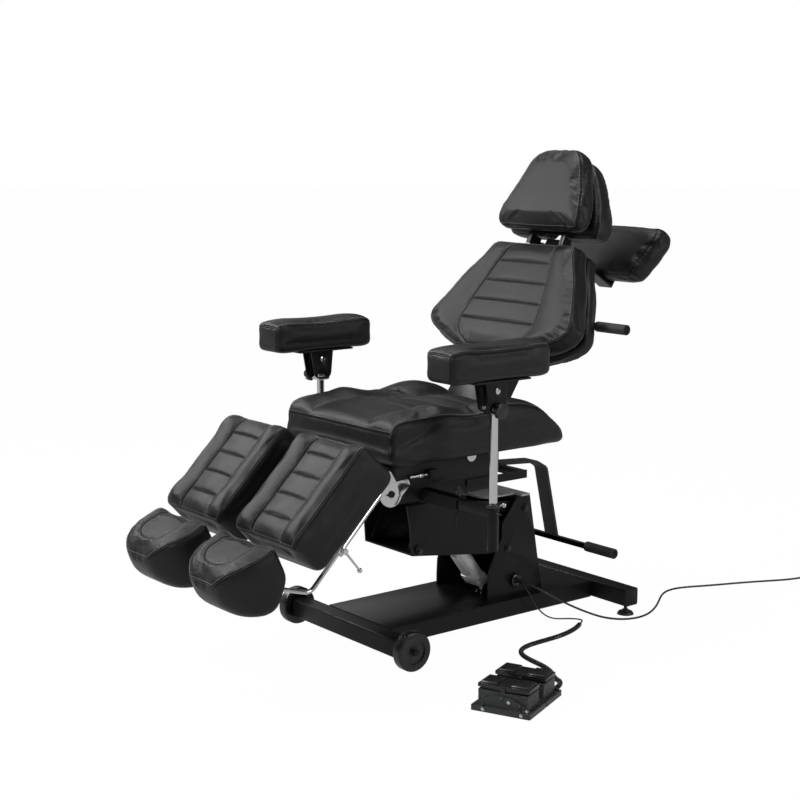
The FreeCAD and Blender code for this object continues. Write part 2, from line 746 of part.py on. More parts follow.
LEG_ROD_Y = -LEG_PLATE_Y


def crossbar(x, length, bottom):
    half = BAR_SIZE / 2
    outer = bar(x - half, x + half, -length / 2, length / 2, bottom, bottom + BAR_SIZE)
    outer = outer.makeFillet(BAR_CORNER, [e for e in outer.Edges if e.Length > BAR_SIZE * 2])
    inner = bar(x - half + BAR_WALL, x + half - BAR_WALL, BAR_WALL - length / 2, length / 2 - BAR_WALL,
                bottom + BAR_WALL, bottom + BAR_SIZE - BAR_WALL)
    return outer.cut(inner)


def motor_bracket():
    pieces = []
    for side in (-1, 1):
        y = MOTOR_Y + side * (EYE_THICKNESS / 2 + BRACKET_THICKNESS / 2 + GAP)
        foot = MOTOR_PIN * 2.4
        outline = [(MOTOR_PIVOT.x - foot, DECK_TOP), (MOTOR_PIVOT.x + foot, DECK_TOP),
                   (MOTOR_PIVOT.x + MOTOR_PIN, MOTOR_PIVOT.z + MOTOR_PIN),
                   (MOTOR_PIVOT.x - MOTOR_PIN, MOTOR_PIVOT.z + MOTOR_PIN)]
        pieces.append(side_plate(outline, 0, y - BRACKET_THICKNESS / 2, y + BRACKET_THICKNESS / 2))
    reach = EYE_THICKNESS / 2 + BRACKET_THICKNESS + GAP
    pieces.append(lateral(MOTOR_PIVOT.x, MOTOR_PIVOT.z, MOTOR_Y - reach, MOTOR_Y + reach, MOTOR_PIN))
    return pieces


def base_frame():
    front = crossbar(FRONT_X, FRONT_BAR_LENGTH, FRONT_BAR_LIFT)
    rear = crossbar(REAR_X, REAR_BAR_LENGTH, REAR_BAR_LIFT)
    x0 = FRONT_X + BAR_SIZE / 2
    x1 = REAR_X - BAR_SIZE / 2
    half = DECK_WIDTH / 2
    deck = bar(x0, x1, -half, half, DECK_TOP - DECK_DEPTH, DECK_TOP)
    under = bar(x0, x1, DECK_SHEET - half, half - DECK_SHEET,
                DECK_TOP - DECK_DEPTH - OVERRUN, DECK_TOP - DECK_SHEET)
    deck = deck.cut(under)
    axles = []
    for side in (-1, 1):
        face = side * FRONT_BAR_LENGTH / 2
        inside = face - side * BAR_WALL
        through = WHEEL_WIDTH + GAP * 2
        bolt = rod(V(FRONT_X, inside, WHEEL_DIAMETER / 2), V(0, side, 0), AXLE_DIAMETER, through + BAR_WALL)
        head = rod(V(FRONT_X, face + side * through, WHEEL_DIAMETER / 2), V(0, side, 0),
                   AXLE_HEAD, AXLE_HEAD_DEPTH)
        axles.append(bolt.fuse(head))
        hole_y = side * (REAR_BAR_LENGTH / 2 - FOOT_INSET)
        rear = rear.cut(rod(V(REAR_X, hole_y, REAR_BAR_LIFT - FIT), V(0, 0, 1),
                            FOOT_STUD + FIT * 2, BAR_WALL + FIT * 2))
    vent = rod(V(FRONT_X, 0, FRONT_BAR_LIFT - FIT), V(0, 0, 1), AXLE_DIAMETER, BAR_WALL + FIT * 2)
    return joined([front.cut(vent), deck, rear] + axles + motor_bracket())


def wheel(side):
    width = WHEEL_WIDTH
    start = FRONT_BAR_LENGTH / 2 + GAP
    body = Part.makeCylinder(WHEEL_DIAMETER / 2, width, V(0, start, 0), V(0, 1, 0))
    rims = [e for e in body.Edges if isinstance(e.Curve, Part.Circle)]
    body = body.makeFillet(WHEEL_ROUND, rims)
    for face in (start - WHEEL_RECESS, start + width - WHEEL_RECESS):
        dish = lateral(0, 0, face, face + WHEEL_RECESS * 2, WHEEL_DISH)
        hub = lateral(0, 0, face, face + WHEEL_RECESS * 2, WHEEL_HUB)
        body = body.cut(dish.cut(hub))
    body = body.cut(lateral(0, 0, start - FIT, start + width + FIT, AXLE_DIAMETER + FIT * 2))
    body.translate(V(FRONT_X, 0, WHEEL_DIAMETER / 2))
    return body if side > 0 else mirrored(body)


def level_foot(side):
    y = side * (REAR_BAR_LENGTH / 2 - FOOT_INSET)
    disc = Part.makeCone(FOOT_DISC / 2, FOOT_DISC * 0.42, FOOT_DISC_DEPTH, V(REAR_X, y, 0), V(0, 0, 1))
    stud = rod(V(REAR_X, y, FOOT_DISC_DEPTH), V(0, 0, 1), FOOT_STUD, FOOT_STUD_LENGTH)
    corners = [V(REAR_X + FOOT_NUT * 0.577 * math.cos(a * math.pi / 3),
                 y + FOOT_NUT * 0.577 * math.sin(a * math.pi / 3), FOOT_DISC_DEPTH) for a in range(6)]
    nut = slab(corners, [0] * 6, V(0, 0, FOOT_NUT_DEPTH))
    return joined([disc, stud, nut])


def pedestal_outline():
    return [(PEDESTAL_FRONT + a * PEDESTAL_LENGTH, DECK_TOP + b * PEDESTAL_HEIGHT)
            for a, b in PEDESTAL_OUTLINE_SHARES]


def pedestal():
    outer = PEDESTAL_WIDTH / 2
    inner = outer - PEDESTAL_PLATE
    outline = pedestal_outline()
    far = side_plate(outline, 0, inner, outer)
    near = side_plate(outline, 0, -outer, -inner)
    hole = lateral(PEDESTAL_FRONT + GROMMET_X_SHARE * PEDESTAL_LENGTH,
                   DECK_TOP + GROMMET_Z_SHARE * PEDESTAL_HEIGHT,
                   -outer - FIT, -inner + FIT, GROMMET_NECK + FIT * 2)
    near = near.cut(hole)
    spine = outline[-3:]
    web_points = [V(x, -inner, z) for x, z in spine]
    web_points += [V(x - PEDESTAL_PLATE, -inner, z) for x, z in reversed(spine)]
    web = slab(web_points, [0] * len(web_points), V(0, inner * 2, 0))
    pieces = [far, near, web]
    for pivot in (LOWER_PIVOT, UPPER_PIVOT):
        reach = outer + PIN_HEAD_DEPTH
        pieces.append(lateral(pivot.x, pivot.z, -outer, outer, LINK_PIN))
        pieces.append(lateral(pivot.x, pivot.z, outer, reach, PIN_HEAD))
        pieces.append(lateral(pivot.x, pivot.z, -reach, -outer, PIN_HEAD))
    return joined(pieces)


def pedestal_cover():
    back = PEDESTAL_FRONT + PEDESTAL_OUTLINE_SHARES[-3][0] * PEDESTAL_LENGTH
    front = back - COVER_LENGTH
    z = PEDESTAL_TOP
    nose = [V(front, -COVER_NOSE_WIDTH / 2, z), V(back, -COVER_NOSE_WIDTH / 2, z),
            V(back, COVER_NOSE_WIDTH / 2, z), V(front, COVER_NOSE_WIDTH / 2, z)]
    radii = [COVER_NOSE_RADIUS, 0, 0, COVER_NOSE_RADIUS]
    plate = slab(nose, radii, V(0, 0, COVER_THICKNESS))
    wide = bar(back - COVER_BACK_LENGTH, back, -PEDESTAL_WIDTH / 2, PEDESTAL_WIDTH / 2, z, z + COVER_THICKNESS)
    return joined([plate, wide])


def cable_grommet():
    x = PEDESTAL_FRONT + GROMMET_X_SHARE * PEDESTAL_LENGTH
    z = DECK_TOP + GROMMET_Z_SHARE * PEDESTAL_HEIGHT
    face = -PEDESTAL_WIDTH / 2
    neck = lateral(x, z, face, face + PEDESTAL_PLATE + FIT, GROMMET_NECK)
    collar = Part.makeCone(GROMMET_DIAMETER / 2, GROMMET_NECK / 2, GROMMET_REACH, V(x, face, z), V(0, -1, 0))
    inner = lateral(x, z, face + PEDESTAL_PLATE, face + PEDESTAL_PLATE + BAR_WALL, GROMMET_DIAMETER)
    return joined([neck, collar, inner])


def arm_point(share_x, share_z):
    # Shares run along the link and up from its rear pivot
    return (LOWER_PIVOT.x - share_x * LINK_RUN, LOWER_PIVOT.z + share_z * ARM_DEPTH)


def lift_arm():
    half = ARM_WIDTH / 2
    inner = half - ARM_SHEET
    outline = [arm_point(a, b + 0.36 * a) for a, b in ARM_OUTLINE_SHARES]
    pieces = []
    for y0, y1 in ((inner, half), (-half, -inner)):
        pieces.append(side_plate(outline, 0, y0, y1))
    floor_front = V(outline[0][0], -half, outline[0][1])
    floor_rear = V(outline[1][0], -half, outline[1][1])
    along = floor_rear - floor_front
    lift = V(-along.z, 0, along.x)
    lift.normalize()
    lift = lift * ARM_SHEET
    floor = slab([floor_front, floor_rear, floor_rear + lift, floor_front + lift], [0] * 4, V(0, half * 2, 0))
    slot_x = floor_front.x + along.x * (1 - ARM_FLOOR_SHARE)
    slot = bar(slot_x, floor_rear.x + OVERRUN, -ARM_SLOT_WIDTH / 2, ARM_SLOT_WIDTH / 2,
               min(floor_front.z, floor_rear.z) - OVERRUN, max(floor_front.z, floor_rear.z) + OVERRUN)
    pieces.append(floor.cut(slot))
    lip = outline[7]
    rim = slab([V(lip[0], -half, lip[1]), V(lip[0] + ARM_RIM, -half, lip[1] - ARM_RIM * 0.05),
                V(lip[0] + ARM_RIM, -half, lip[1] - ARM_RIM * 0.05 - ARM_SHEET),
                V(lip[0], -half, lip[1] - ARM_SHEET)], [0] * 4, V(0, half * 2, 0))
    pieces.append(rim)
    pieces.append(lateral(CROSS_PIN.x, CROSS_PIN.z, -inner, inner, MOTOR_PIN))
    body = joined(pieces)
    holes = [lateral(p.x, p.z, -half - FIT, half + FIT, LINK_PIN + FIT * 2) for p in (LOWER_PIVOT, LOWER_FRONT)]
    # The arm stays clear under the turning frame
    over = bar(LOWER_FRONT.x - LINK_LENGTH, LOWER_PIVOT.x, -ARM_WIDTH, ARM_WIDTH, CARRIER_TOP - TURN_THICKNESS, PAN_TOP)
    return minus(body, holes + [over])


def upper_link():
    bars = []
    for side in (-1, 1):
        y = side * UPPER_LINK_GAUGE / 2
        y0 = y - UPPER_LINK_THICKNESS / 2
        y1 = y + UPPER_LINK_THICKNESS / 2
        half = UPPER_LINK_DEPTH / 2
        flat = bar(0, LINK_LENGTH, y0, y1, -half, half)
        piece = joined([flat, lateral(0, 0, y0, y1, UPPER_LINK_DEPTH),
                        lateral(LINK_LENGTH, 0, y0, y1, UPPER_LINK_DEPTH)])
        for x in (0, LINK_LENGTH):
            piece = piece.cut(lateral(x, 0, y0 - FIT, y1 + FIT, LINK_PIN + FIT * 2))
        bars.append(placed(piece, UPPER_FRONT, -LINK_SLOPE))
    return Part.makeCompound(bars)


def carrier():
    outer = CARRIER_WIDTH / 2
    inner = outer - CARRIER_SHEET
    eye = CARRIER_EYE / 2
    x0 = TURN_X - CARRIER_PLATE_LENGTH / 2
    x1 = TURN_X + CARRIER_PLATE_LENGTH / 2
    top = CARRIER_TOP
    outline = [(LOWER_FRONT.x - eye * 0.6, LOWER_FRONT.z - eye * 0.35), (LOWER_FRONT.x + eye * 0.4, LOWER_FRONT.z - eye * 0.55),
               (UPPER_FRONT.x + eye, UPPER_FRONT.z - eye * 2), (x1, top - eye), (x1, top), (x0, top),
               (x0, top - eye), (LOWER_FRONT.x - eye * 0.8, LOWER_FRONT.z + eye * 0.3)]
    pieces = [side_plate(outline, 0, inner, outer), side_plate(outline, 0, -outer, -inner)]
    pieces.append(bar(x0, x1, -outer, outer, top - CARRIER_SHEET, top))
    disc = rod(V(TURN_X, 0, top), V(0, 0, 1), TURN_DIAMETER, TURN_THICKNESS - GAP)
    spigot = rod(V(TURN_X, 0, top), V(0, 0, 1), SPIGOT_DIAMETER, TURN_THICKNESS * 2 + SPIGOT_HEIGHT)
    pieces += [disc, spigot]
    for pivot, reach in ((LOWER_FRONT, ARM_WIDTH / 2), (UPPER_FRONT, UPPER_LINK_GAUGE / 2 + UPPER_LINK_THICKNESS / 2)):
        for side in (-1, 1):
            start = V(pivot.x, side * inner, pivot.z)
            run = reach - inner + GAP
            pieces.append(rod(start, V(0, side, 0), LINK_PIN, run))
            head_diameter = PIN_HEAD if pivot is LOWER_FRONT else LINK_PIN * 1.2
            head_depth = PIN_HEAD_DEPTH if pivot is LOWER_FRONT else BAR_WALL * 0.6
            head_start = V(pivot.x, side * (reach + GAP), pivot.z)
            pieces.append(rod(head_start, V(0, side, 0), head_diameter, head_depth))
    return joined(pieces)


def actuator_angle():
    run = CROSS_PIN - MOTOR_PIVOT
    return math.degrees(math.atan2(run.z, run.x))


def lift_motor():
    # Built along local +X from the base pin, then turned to its slope
    eye = lateral(0, 0, MOTOR_Y - EYE_THICKNESS / 2, MOTOR_Y + EYE_THICKNESS / 2, EYE_DIAMETER)
    neck = bar(0, GEAR_START, MOTOR_Y - EYE_THICKNESS / 2, MOTOR_Y + EYE_THICKNESS / 2,
               -EYE_DIAMETER * 0.3, EYE_DIAMETER * 0.3)
    wide = SPINDLE_DIAMETER / 2
    gear = bar(GEAR_START, GEAR_START + GEAR_DEPTH, MOTOR_Y - wide, MOTOR_Y + MOTOR_PITCH + MOTOR_DIAMETER / 2,
               -wide, wide)
    gear = gear.makeFillet(BAR_CORNER, [e for e in gear.Edges if abs(e.Length - GEAR_DEPTH) < FIT])
    start = GEAR_START + GEAR_DEPTH
    spindle = rod(V(start, MOTOR_Y, 0), V(1, 0, 0), SPINDLE_DIAMETER, SPINDLE_END - start)
    motor = rod(V(start, MOTOR_Y + MOTOR_PITCH, 0), V(1, 0, 0), MOTOR_DIAMETER, MOTOR_LENGTH - start)
    body = joined([eye, neck, gear, spindle, motor])
    hole = lateral(0, 0, MOTOR_Y - EYE_THICKNESS, MOTOR_Y + EYE_THICKNESS, MOTOR_PIN + FIT * 2)
    bore = rod(V(ROD_START - BAR_CORNER * 2, MOTOR_Y, 0), V(1, 0, 0), ROD_DIAMETER + FIT * 2, SPINDLE_END)
    body = minus(body, [hole, bore])
    return placed(body, MOTOR_PIVOT, actuator_angle())


def lift_rod():
    reach = (CROSS_PIN - MOTOR_PIVOT).Length
    shaft = rod(V(ROD_START, MOTOR_Y, 0), V(1, 0, 0), ROD_DIAMETER, reach - ROD_START)
    eye = lateral(reach, 0, MOTOR_Y - EYE_THICKNESS / 2, MOTOR_Y + EYE_THICKNESS / 2, EYE_DIAMETER)
    hole = lateral(reach, 0, MOTOR_Y - EYE_THICKNESS, MOTOR_Y + EYE_THICKNESS, MOTOR_PIN + EYE_PLAY * 2)
    return placed(joined([shaft, eye]).cut(hole), MOTOR_PIVOT, actuator_angle())


def swivel_frame():
    half = FRAME_WIDTH / 2
    t = FRAME_SHEET
    z0 = FRAME_BOTTOM
    tray = bar(FRAME_X0, FRAME_X1, -half, half, z0, PAN_BOTTOM)
    tray = tray.cut(bar(FRAME_X0 + t, FRAME_X1 + OVERRUN, t - half, half - t, z0 + t, PAN_BOTTOM + OVERRUN))
    disc = rod(V(TURN_X, 0, z0 - TURN_THICKNESS), V(0, 0, 1), TURN_DIAMETER, TURN_THICKNESS)
    side = SLEEVE_SIZE / 2
    sleeve = bar(SLEEVE_X - side, SLEEVE_X + side, -SLEEVE_LENGTH / 2, SLEEVE_LENGTH / 2,
                 SLEEVE_Z - side, SLEEVE_Z + side)
    ear = EAR_WIDTH / 2
    pieces = [tray, disc, sleeve]
    for s in (-1, 1):
        y0 = min(s * half, s * (half - t))
        outline = [(BACK_PIVOT.x - ear, PAN_BOTTOM - t), (BACK_PIVOT.x + ear, PAN_BOTTOM - t),
                   (BACK_PIVOT.x + ear * 0.5, BACK_PIVOT.z + ear * 0.8),
                   (BACK_PIVOT.x - ear * 0.5, BACK_PIVOT.z + ear * 0.8)]
        pieces.append(side_plate(outline, 0, y0, y0 + t))
        z = FRAME_BOTTOM + TAIL_BAR_LIFT
        y_in = min(s * half, s * (half + TAIL_BAR_THICKNESS))
        pieces.append(bar(TURN_X + TAIL_BAR_REACH - TAIL_BAR_LENGTH, TURN_X + TAIL_BAR_REACH,
                          y_in, y_in + TAIL_BAR_THICKNESS, z, z + TAIL_BAR_DEPTH))
        boss = world(V(SLEEVE_X, 0, 0), 0, V(0, s * (SLEEVE_LENGTH / 2 - BEAM_KNOB_INSET), SLEEVE_Z + side))
        lean = V(0, s, 1)
        lean.normalize()
        pieces.append(rod(boss - lean * side * 0.2, lean, BEAM_BOSS, BEAM_BOSS_LENGTH))
    cross_x = TURN_X + TAIL_BAR_REACH - TAIL_CROSS_INSET
    cross_z = FRAME_BOTTOM + TAIL_BAR_LIFT + TAIL_BAR_DEPTH
    pieces.append(bar(cross_x - TAIL_CROSS / 2, cross_x + TAIL_CROSS / 2, -half, half,
                      cross_z - TAIL_CROSS, cross_z))
    pieces.append(lateral(BACK_PIVOT.x, BACK_PIVOT.z, -half - t, half + t, PIVOT_DIAMETER))
    trunnion_x = BACK_PIVOT.x - BACK_MOTOR_END / 2 + t * 4
    pieces.append(bar(trunnion_x, trunnion_x + t, -half + t, half - t, z0 + t, PAN_BOTTOM))
    body = joined(pieces)
    hole = SLEEVE_SIZE / 2 - SLEEVE_WALL + FIT
    beam_way = bar(SLEEVE_X - hole, SLEEVE_X + hole, -SLEEVE_LENGTH, SLEEVE_LENGTH,
                   SLEEVE_Z - hole, SLEEVE_Z + hole)
    spigot_way = rod(V(TURN_X, 0, z0 - TURN_THICKNESS - FIT), V(0, 0, 1), SPIGOT_DIAMETER + FIT * 2,
                     TURN_THICKNESS + t + FIT * 2)
    motor_way = rod(V(trunnion_x - t, 0, back_motor_z()), V(1, 0, 0), BACK_MOTOR_DIAMETER, t * 3)
    body = minus(body, [beam_way, spigot_way, motor_way])
    for s in (-1, 1):
        lean = V(0, s, 1)
        lean.normalize()
        start = V(SLEEVE_X, s * (SLEEVE_LENGTH / 2 - BEAM_KNOB_INSET), SLEEVE_Z + side)
        body = body.cut(rod(start - lean * side, lean, KNOB_STUD + FIT * 2, BEAM_BOSS_LENGTH * 3))
    return body


def back_motor_z():
    return BACK_PIVOT.z - LEVER_PIN_DROP


def back_pin_x():
    return BACK_PIVOT.x + LEVER_PIN_DROP * math.tan(math.radians(LEVER_LEAN))


def back_motor():
    x0 = FRAME_X0 + FRAME_SHEET
    x1 = x0 + BACK_MOTOR_END
    tube = rod(V(x0, 0, back_motor_z()), V(1, 0, 0), BACK_MOTOR_DIAMETER, x1 - x0)
    bore = rod(V(x1 - BACK_ROD_INSIDE * 2, 0, back_motor_z()), V(1, 0, 0), BACK_ROD_DIAMETER + FIT * 2,
               BACK_ROD_INSIDE * 3)
    return tube.cut(bore)


def back_rod():
    z = back_motor_z()
    x1 = FRAME_X0 + FRAME_SHEET + BACK_MOTOR_END
    pin_x = back_pin_x()
    fork_x = pin_x - FORK_LENGTH * 0.5
    shaft = rod(V(x1 - BACK_ROD_INSIDE, 0, z), V(1, 0, 0), BACK_ROD_DIAMETER, fork_x - x1 + BACK_ROD_INSIDE)
    head = bar(fork_x - FORK_CHEEK, pin_x + LEVER_PIN, -FORK_WIDTH / 2, FORK_WIDTH / 2,
               z - LEVER_PIN, z + LEVER_PIN)
    inner = FORK_WIDTH / 2 - FORK_CHEEK
    gap = bar(fork_x, pin_x + LEVER_PIN + OVERRUN, -inner, inner, z - OVERRUN, z + OVERRUN)
    pin = lateral(pin_x, z, -FORK_WIDTH / 2, FORK_WIDTH / 2, LEVER_PIN)
    return joined([shaft, head.cut(gap), pin])


def seat_pan():
    half = PAN_WIDTH / 2
    t = PAN_SHEET
    block = bar(PAN_X0, PAN_X1, -half, half, PAN_BOTTOM, PAN_TOP)
    uprights = [e for e in block.Edges if abs(e.Length - PAN_HEIGHT) < FIT]
    block = block.makeFillet(PAN_CORNER, uprights)
    hollow = bar(PAN_X0 + t, PAN_X1 - t, t - half, half - t, PAN_BOTTOM - OVERRUN, PAN_TOP - t)
    uprights = [e for e in hollow.Edges if abs(e.Length - PAN_HEIGHT - OVERRUN + t) < FIT]
    hollow = hollow.makeFillet(PAN_CORNER - t, uprights)
    pan = block.cut(hollow)
    notch_half = FRAME_WIDTH / 2 + t
    rear = bar(PAN_X1 - PAN_NOTCH, PAN_X1 + OVERRUN, -notch_half, notch_half,
               PAN_BOTTOM - OVERRUN, PAN_TOP + OVERRUN)
    pan = pan.cut(rear)
    frame_half = FRAME_WIDTH / 2
    pieces = [pan, bar(PAN_X1 - PAN_NOTCH - t, PAN_X1 - PAN_NOTCH, -notch_half, notch_half, PAN_BOTTOM, PAN_TOP)]
    for side in (-1, 1):
        rail = bar(FRAME_X0, PAN_X1 - PAN_NOTCH, min(side * frame_half, side * (frame_half - BAR_WALL)),
                   max(side * frame_half, side * (frame_half - BAR_WALL)), PAN_BOTTOM, PAN_TOP - t)
        pieces.append(rail)
        inner = side * half
        outer = side * (LEG_PLATE_Y - LEG_PLATE / 2 - GAP)
        lug = bar(LEG_PIVOT.x - LUG_LENGTH * 0.26, LEG_PIVOT.x + LUG_LENGTH * 0.74,
                  min(inner, outer) - (0 if side > 0 else 0), max(inner, outer),
                  LEG_PIVOT.z - LUG_HEIGHT * 0.36, LEG_PIVOT.z + LUG_HEIGHT * 0.64)
        pieces.append(lug)
        pin_length = LEG_PLATE + GAP * 2 + abs(outer - inner)
        pieces.append(rod(V(LEG_PIVOT.x, inner, LEG_PIVOT.z), V(0, side, 0), LEG_PIVOT_PIN, pin_length))
        pieces.append(rod(V(LEG_PIVOT.x, inner + side * pin_length, LEG_PIVOT.z), V(0, side, 0),
                          LEG_PIVOT_PIN * 1.7, BAR_WALL))
        block_x = LEG_PIVOT.x + PLUNGER_BLOCK_X
        block_z = LEG_PIVOT.z + PLUNGER_RISE
        block_side = PLUNGER_BLOCK / 2
        pieces.append(bar(block_x - block_side, block_x + block_side, min(inner, inner + side * PLUNGER_BLOCK * 0.8),
                          max(inner, inner + side * PLUNGER_BLOCK * 0.8), block_z - block_side, block_z + block_side))
    return joined(pieces)


def hinge_pins():
    pins = []
    for side in (-1, 1):
        y = side * LEG_PLATE_Y
        z = LEG_PIVOT.z + PLUNGER_RISE
        x1 = LEG_PIVOT.x + PLUNGER_BLOCK_X - PLUNGER_BLOCK / 2
        x0 = LEG_PIVOT.x + math.sqrt(SECTOR_EAR ** 2 - PLUNGER_RISE ** 2) + PLUNGER_DIAMETER + PLUNGER_GAP
        shaft = rod(V(x0, y, z), V(1, 0, 0), PLUNGER_DIAMETER, x1 - x0)
        collar_x = (x0 + x1) / 2
        collar = rod(V(collar_x, y, z), V(1, 0, 0), PLUNGER_COLLAR, PLUNGER_COLLAR_LENGTH)
        flange = rod(V(x1 - BAR_WALL, y, z), V(1, 0, 0), PLUNGER_COLLAR * 0.8, BAR_WALL)
        pins.append(joined([shaft, collar, flange]))
    return Part.makeCompound(pins)


def seat_cushion():
    body = seamed_cushion(SEAT_LENGTH, SEAT_WIDTH, SEAT_THICKNESS, SEAT_STATION_SHARES,
                          SEAT_EDGE, SEAT_PULL, SEAT_CROWN, SEAT_PANEL_SHARE)
    channels = cross_channels(SEAT_LENGTH, SEAT_WIDTH, SEAT_THICKNESS, SEAT_STATION_SHARES,
                              SEAT_CHANNEL_SHARES, SEAT_EDGE, SEAT_PANEL_SHARE)
    body = minus(body, channels)
    turn = FreeCAD.Placement(V(PAN_X0 - SEAT_OVERHANG, 0, PAN_TOP + SEAT_THICKNESS),
                             FreeCAD.Rotation(V(0, 0, 1), 180))
    body.Placement = turn.multiply(body.Placement)
    # The tail is split for the back's column, whose foremost position sets the slot's front wall
    slot_angle = BACK_ANGLE + SEAT_SLOT_ANGLE
    front = BACK_FACE - COLUMN_FRONT + GAP * 10
    reach = SEAT_LENGTH
    slot = bar(-reach, reach, -SEAT_SLOT_WIDTH / 2, SEAT_SLOT_WIDTH / 2, -reach, front)
    slot = placed(slot, BACK_PIVOT, slot_angle)
    keep_rear = bar(BACK_PIVOT.x - reach, BACK_PIVOT.x + reach, -SEAT_WIDTH, SEAT_WIDTH,
                    PAN_TOP - OVERRUN, PAN_TOP + SEAT_THICKNESS + OVERRUN)
    return body.cut(slot.common(keep_rear))


def back_local():
    # The back's own frame: origin at its pivot, X up the slope, Z out of the face
    return BACK_PIVOT, BACK_ANGLE


def back_column():
    face = BACK_FACE
    half = COLUMN_WIDTH / 2
    w = COLUMN_WALL
    z1 = face - COLUMN_FRONT
    z0 = z1 - COLUMN_DEPTH
    top = BACK_TOP - BACK_LENGTH - GAP
    eye = COLUMN_EYE
    box = bar(0, top, -half, half, z0, z1)
    inner = bar(-OVERRUN, top - w, w - half, half - w, z0 + w, z1 - w)
    column = box.cut(inner)
    plate_z1 = face - BACK_FRONT_THICKNESS
    plate_z0 = plate_z1 - BACK_PLATE
    plate = bar(top - w, BACK_TOP - BACK_PLATE_INSET, -BACK_PLATE_WIDTH / 2, BACK_PLATE_WIDTH / 2, plate_z0, plate_z1)
    neck = bar(BACK_TOP - BACK_PLATE_INSET, BACK_TOP + NECK_RISE, -NECK_WIDTH / 2, NECK_WIDTH / 2, plate_z0, plate_z1)
    pieces = [column, plate, neck]
    for side in (-1, 1):
        y0 = side * half if side < 0 else half - w
        eye_piece = lateral(0, 0, y0, y0 + w, eye)
        pieces.append(eye_piece)
        guide_y = side * GUIDE_Y
        x1 = BACK_TOP - GUIDE_INSET
        guide = bar(x1 - GUIDE_LENGTH, x1, guide_y - GUIDE_SIZE / 2, guide_y + GUIDE_SIZE / 2,
                    plate_z0 - GUIDE_SIZE, plate_z0)
        web = bar(x1 - GUIDE_LENGTH, x1, min(guide_y, 0), max(guide_y, 0), plate_z0, plate_z1)
        pieces += [guide, web]
    stub_x = BACK_TOP - STUB_DROP
    stub_end = face - BACK_FRONT_THICKNESS - BACK_PLATE - BACK_REAR_THICKNESS - STUB_CLEARANCE
    pieces.append(bar(stub_x - STUB_SIZE / 2, stub_x + STUB_SIZE / 2, -STUB_SIZE / 2, STUB_SIZE / 2,
                      stub_end, plate_z0))
    column = joined(pieces)
    lean = BACK_ANGLE - 90 - LEVER_LEAN
    lever = bar(-LEVER_WIDTH / 2, LEVER_WIDTH / 2, -LEVER_THICKNESS / 2, LEVER_THICKNESS / 2, -LEVER_LENGTH, 0)
    hub = lateral(0, 0, -LEVER_THICKNESS / 2, LEVER_THICKNESS / 2, LEVER_WIDTH)
    lever = lever.fuse(hub)
    slot = bar(-LEVER_SLOT_WIDTH / 2, LEVER_SLOT_WIDTH / 2, -LEVER_THICKNESS, LEVER_THICKNESS,
               -LEVER_SLOT_END, -LEVER_SLOT_START)
    lever = lever.cut(slot)
    lever = turned(lever, LEVER_LEAN - BACK_ANGLE)
    tie = bar(LEVER_WIDTH * 0.2, LEVER_WIDTH * 1.1, -LEVER_THICKNESS / 2, LEVER_THICKNESS / 2, z0 + w, z1 - w)
    column = joined([column, lever, tie])
    hole = lateral(0, 0, -half - FIT, half + FIT, PIVOT_DIAMETER + FIT * 2)
    cutters = [hole]
    for side in (-1, 1):
        cutters.append(rod(V(BACK_TOP - GUIDE_LENGTH - OVERRUN, side * GUIDE_Y, face - HEAD_PIN_DEPTH),
                           V(1, 0, 0), HEAD_ROD + FIT * 2, GUIDE_LENGTH + OVERRUN * 2))
    column = minus(column, cutters)
    return placed(column, *back_local())


def back_cushion_front():
    body = seamed_cushion(BACK_LENGTH, BACK_WIDTH, BACK_FRONT_THICKNESS, BACK_STATION_SHARES,
                          BACK_EDGE, BACK_PULL, BACK_CROWN, BACK_PANEL_SHARE)
    channels = cross_channels(BACK_LENGTH, BACK_WIDTH, BACK_FRONT_THICKNESS, BACK_STATION_SHARES,
                              BACK_CHANNEL_SHARES, BACK_EDGE, BACK_PANEL_SHARE)
    body = minus(body, channels)
    body.translate(V(BACK_TOP, 0, BACK_FACE))
    return placed(body, *back_local())


def back_cushion_rear():
    rows = [(a, b, c, 0.0) for a, b, c, d, e in BACK_STATION_SHARES]
    body = plain_cushion(BACK_LENGTH, BACK_WIDTH, BACK_REAR_THICKNESS, rows, BACK_EDGE, BACK_PULL, BACK_CROWN)
    return body


def handle_bar():
    x = BACK_TOP - STUB_DROP
    z = BACK_FACE - BACK_FRONT_THICKNESS - BACK_PLATE - BACK_REAR_THICKNESS - HANDLE_OUT
    half = HANDLE_LENGTH / 2
    tube = lateral(x, z, -half, half, HANDLE_TUBE)
    clamp = bar(x - HANDLE_CLAMP / 2, x + HANDLE_CLAMP / 2, -HANDLE_CLAMP / 2, HANDLE_CLAMP / 2,
                z - HANDLE_TUBE * 0.7, z + HANDLE_OUT - STUB_CLEARANCE)
    frame = joined([tube, clamp])
    grips = []
    for side in (-1, 1):
        y0 = min(side * half, side * (half - HANDLE_GRIP_LENGTH))
        grip = lateral(x, z, y0, y0 + HANDLE_GRIP_LENGTH, HANDLE_GRIP)
        grips.append(grip.cut(lateral(x, z, -half, half, HANDLE_TUBE)))
    return placed(Part.makeCompound([frame] + grips), *back_local())


def head_local():
    return HEAD_PIVOT, HEAD_ANGLE


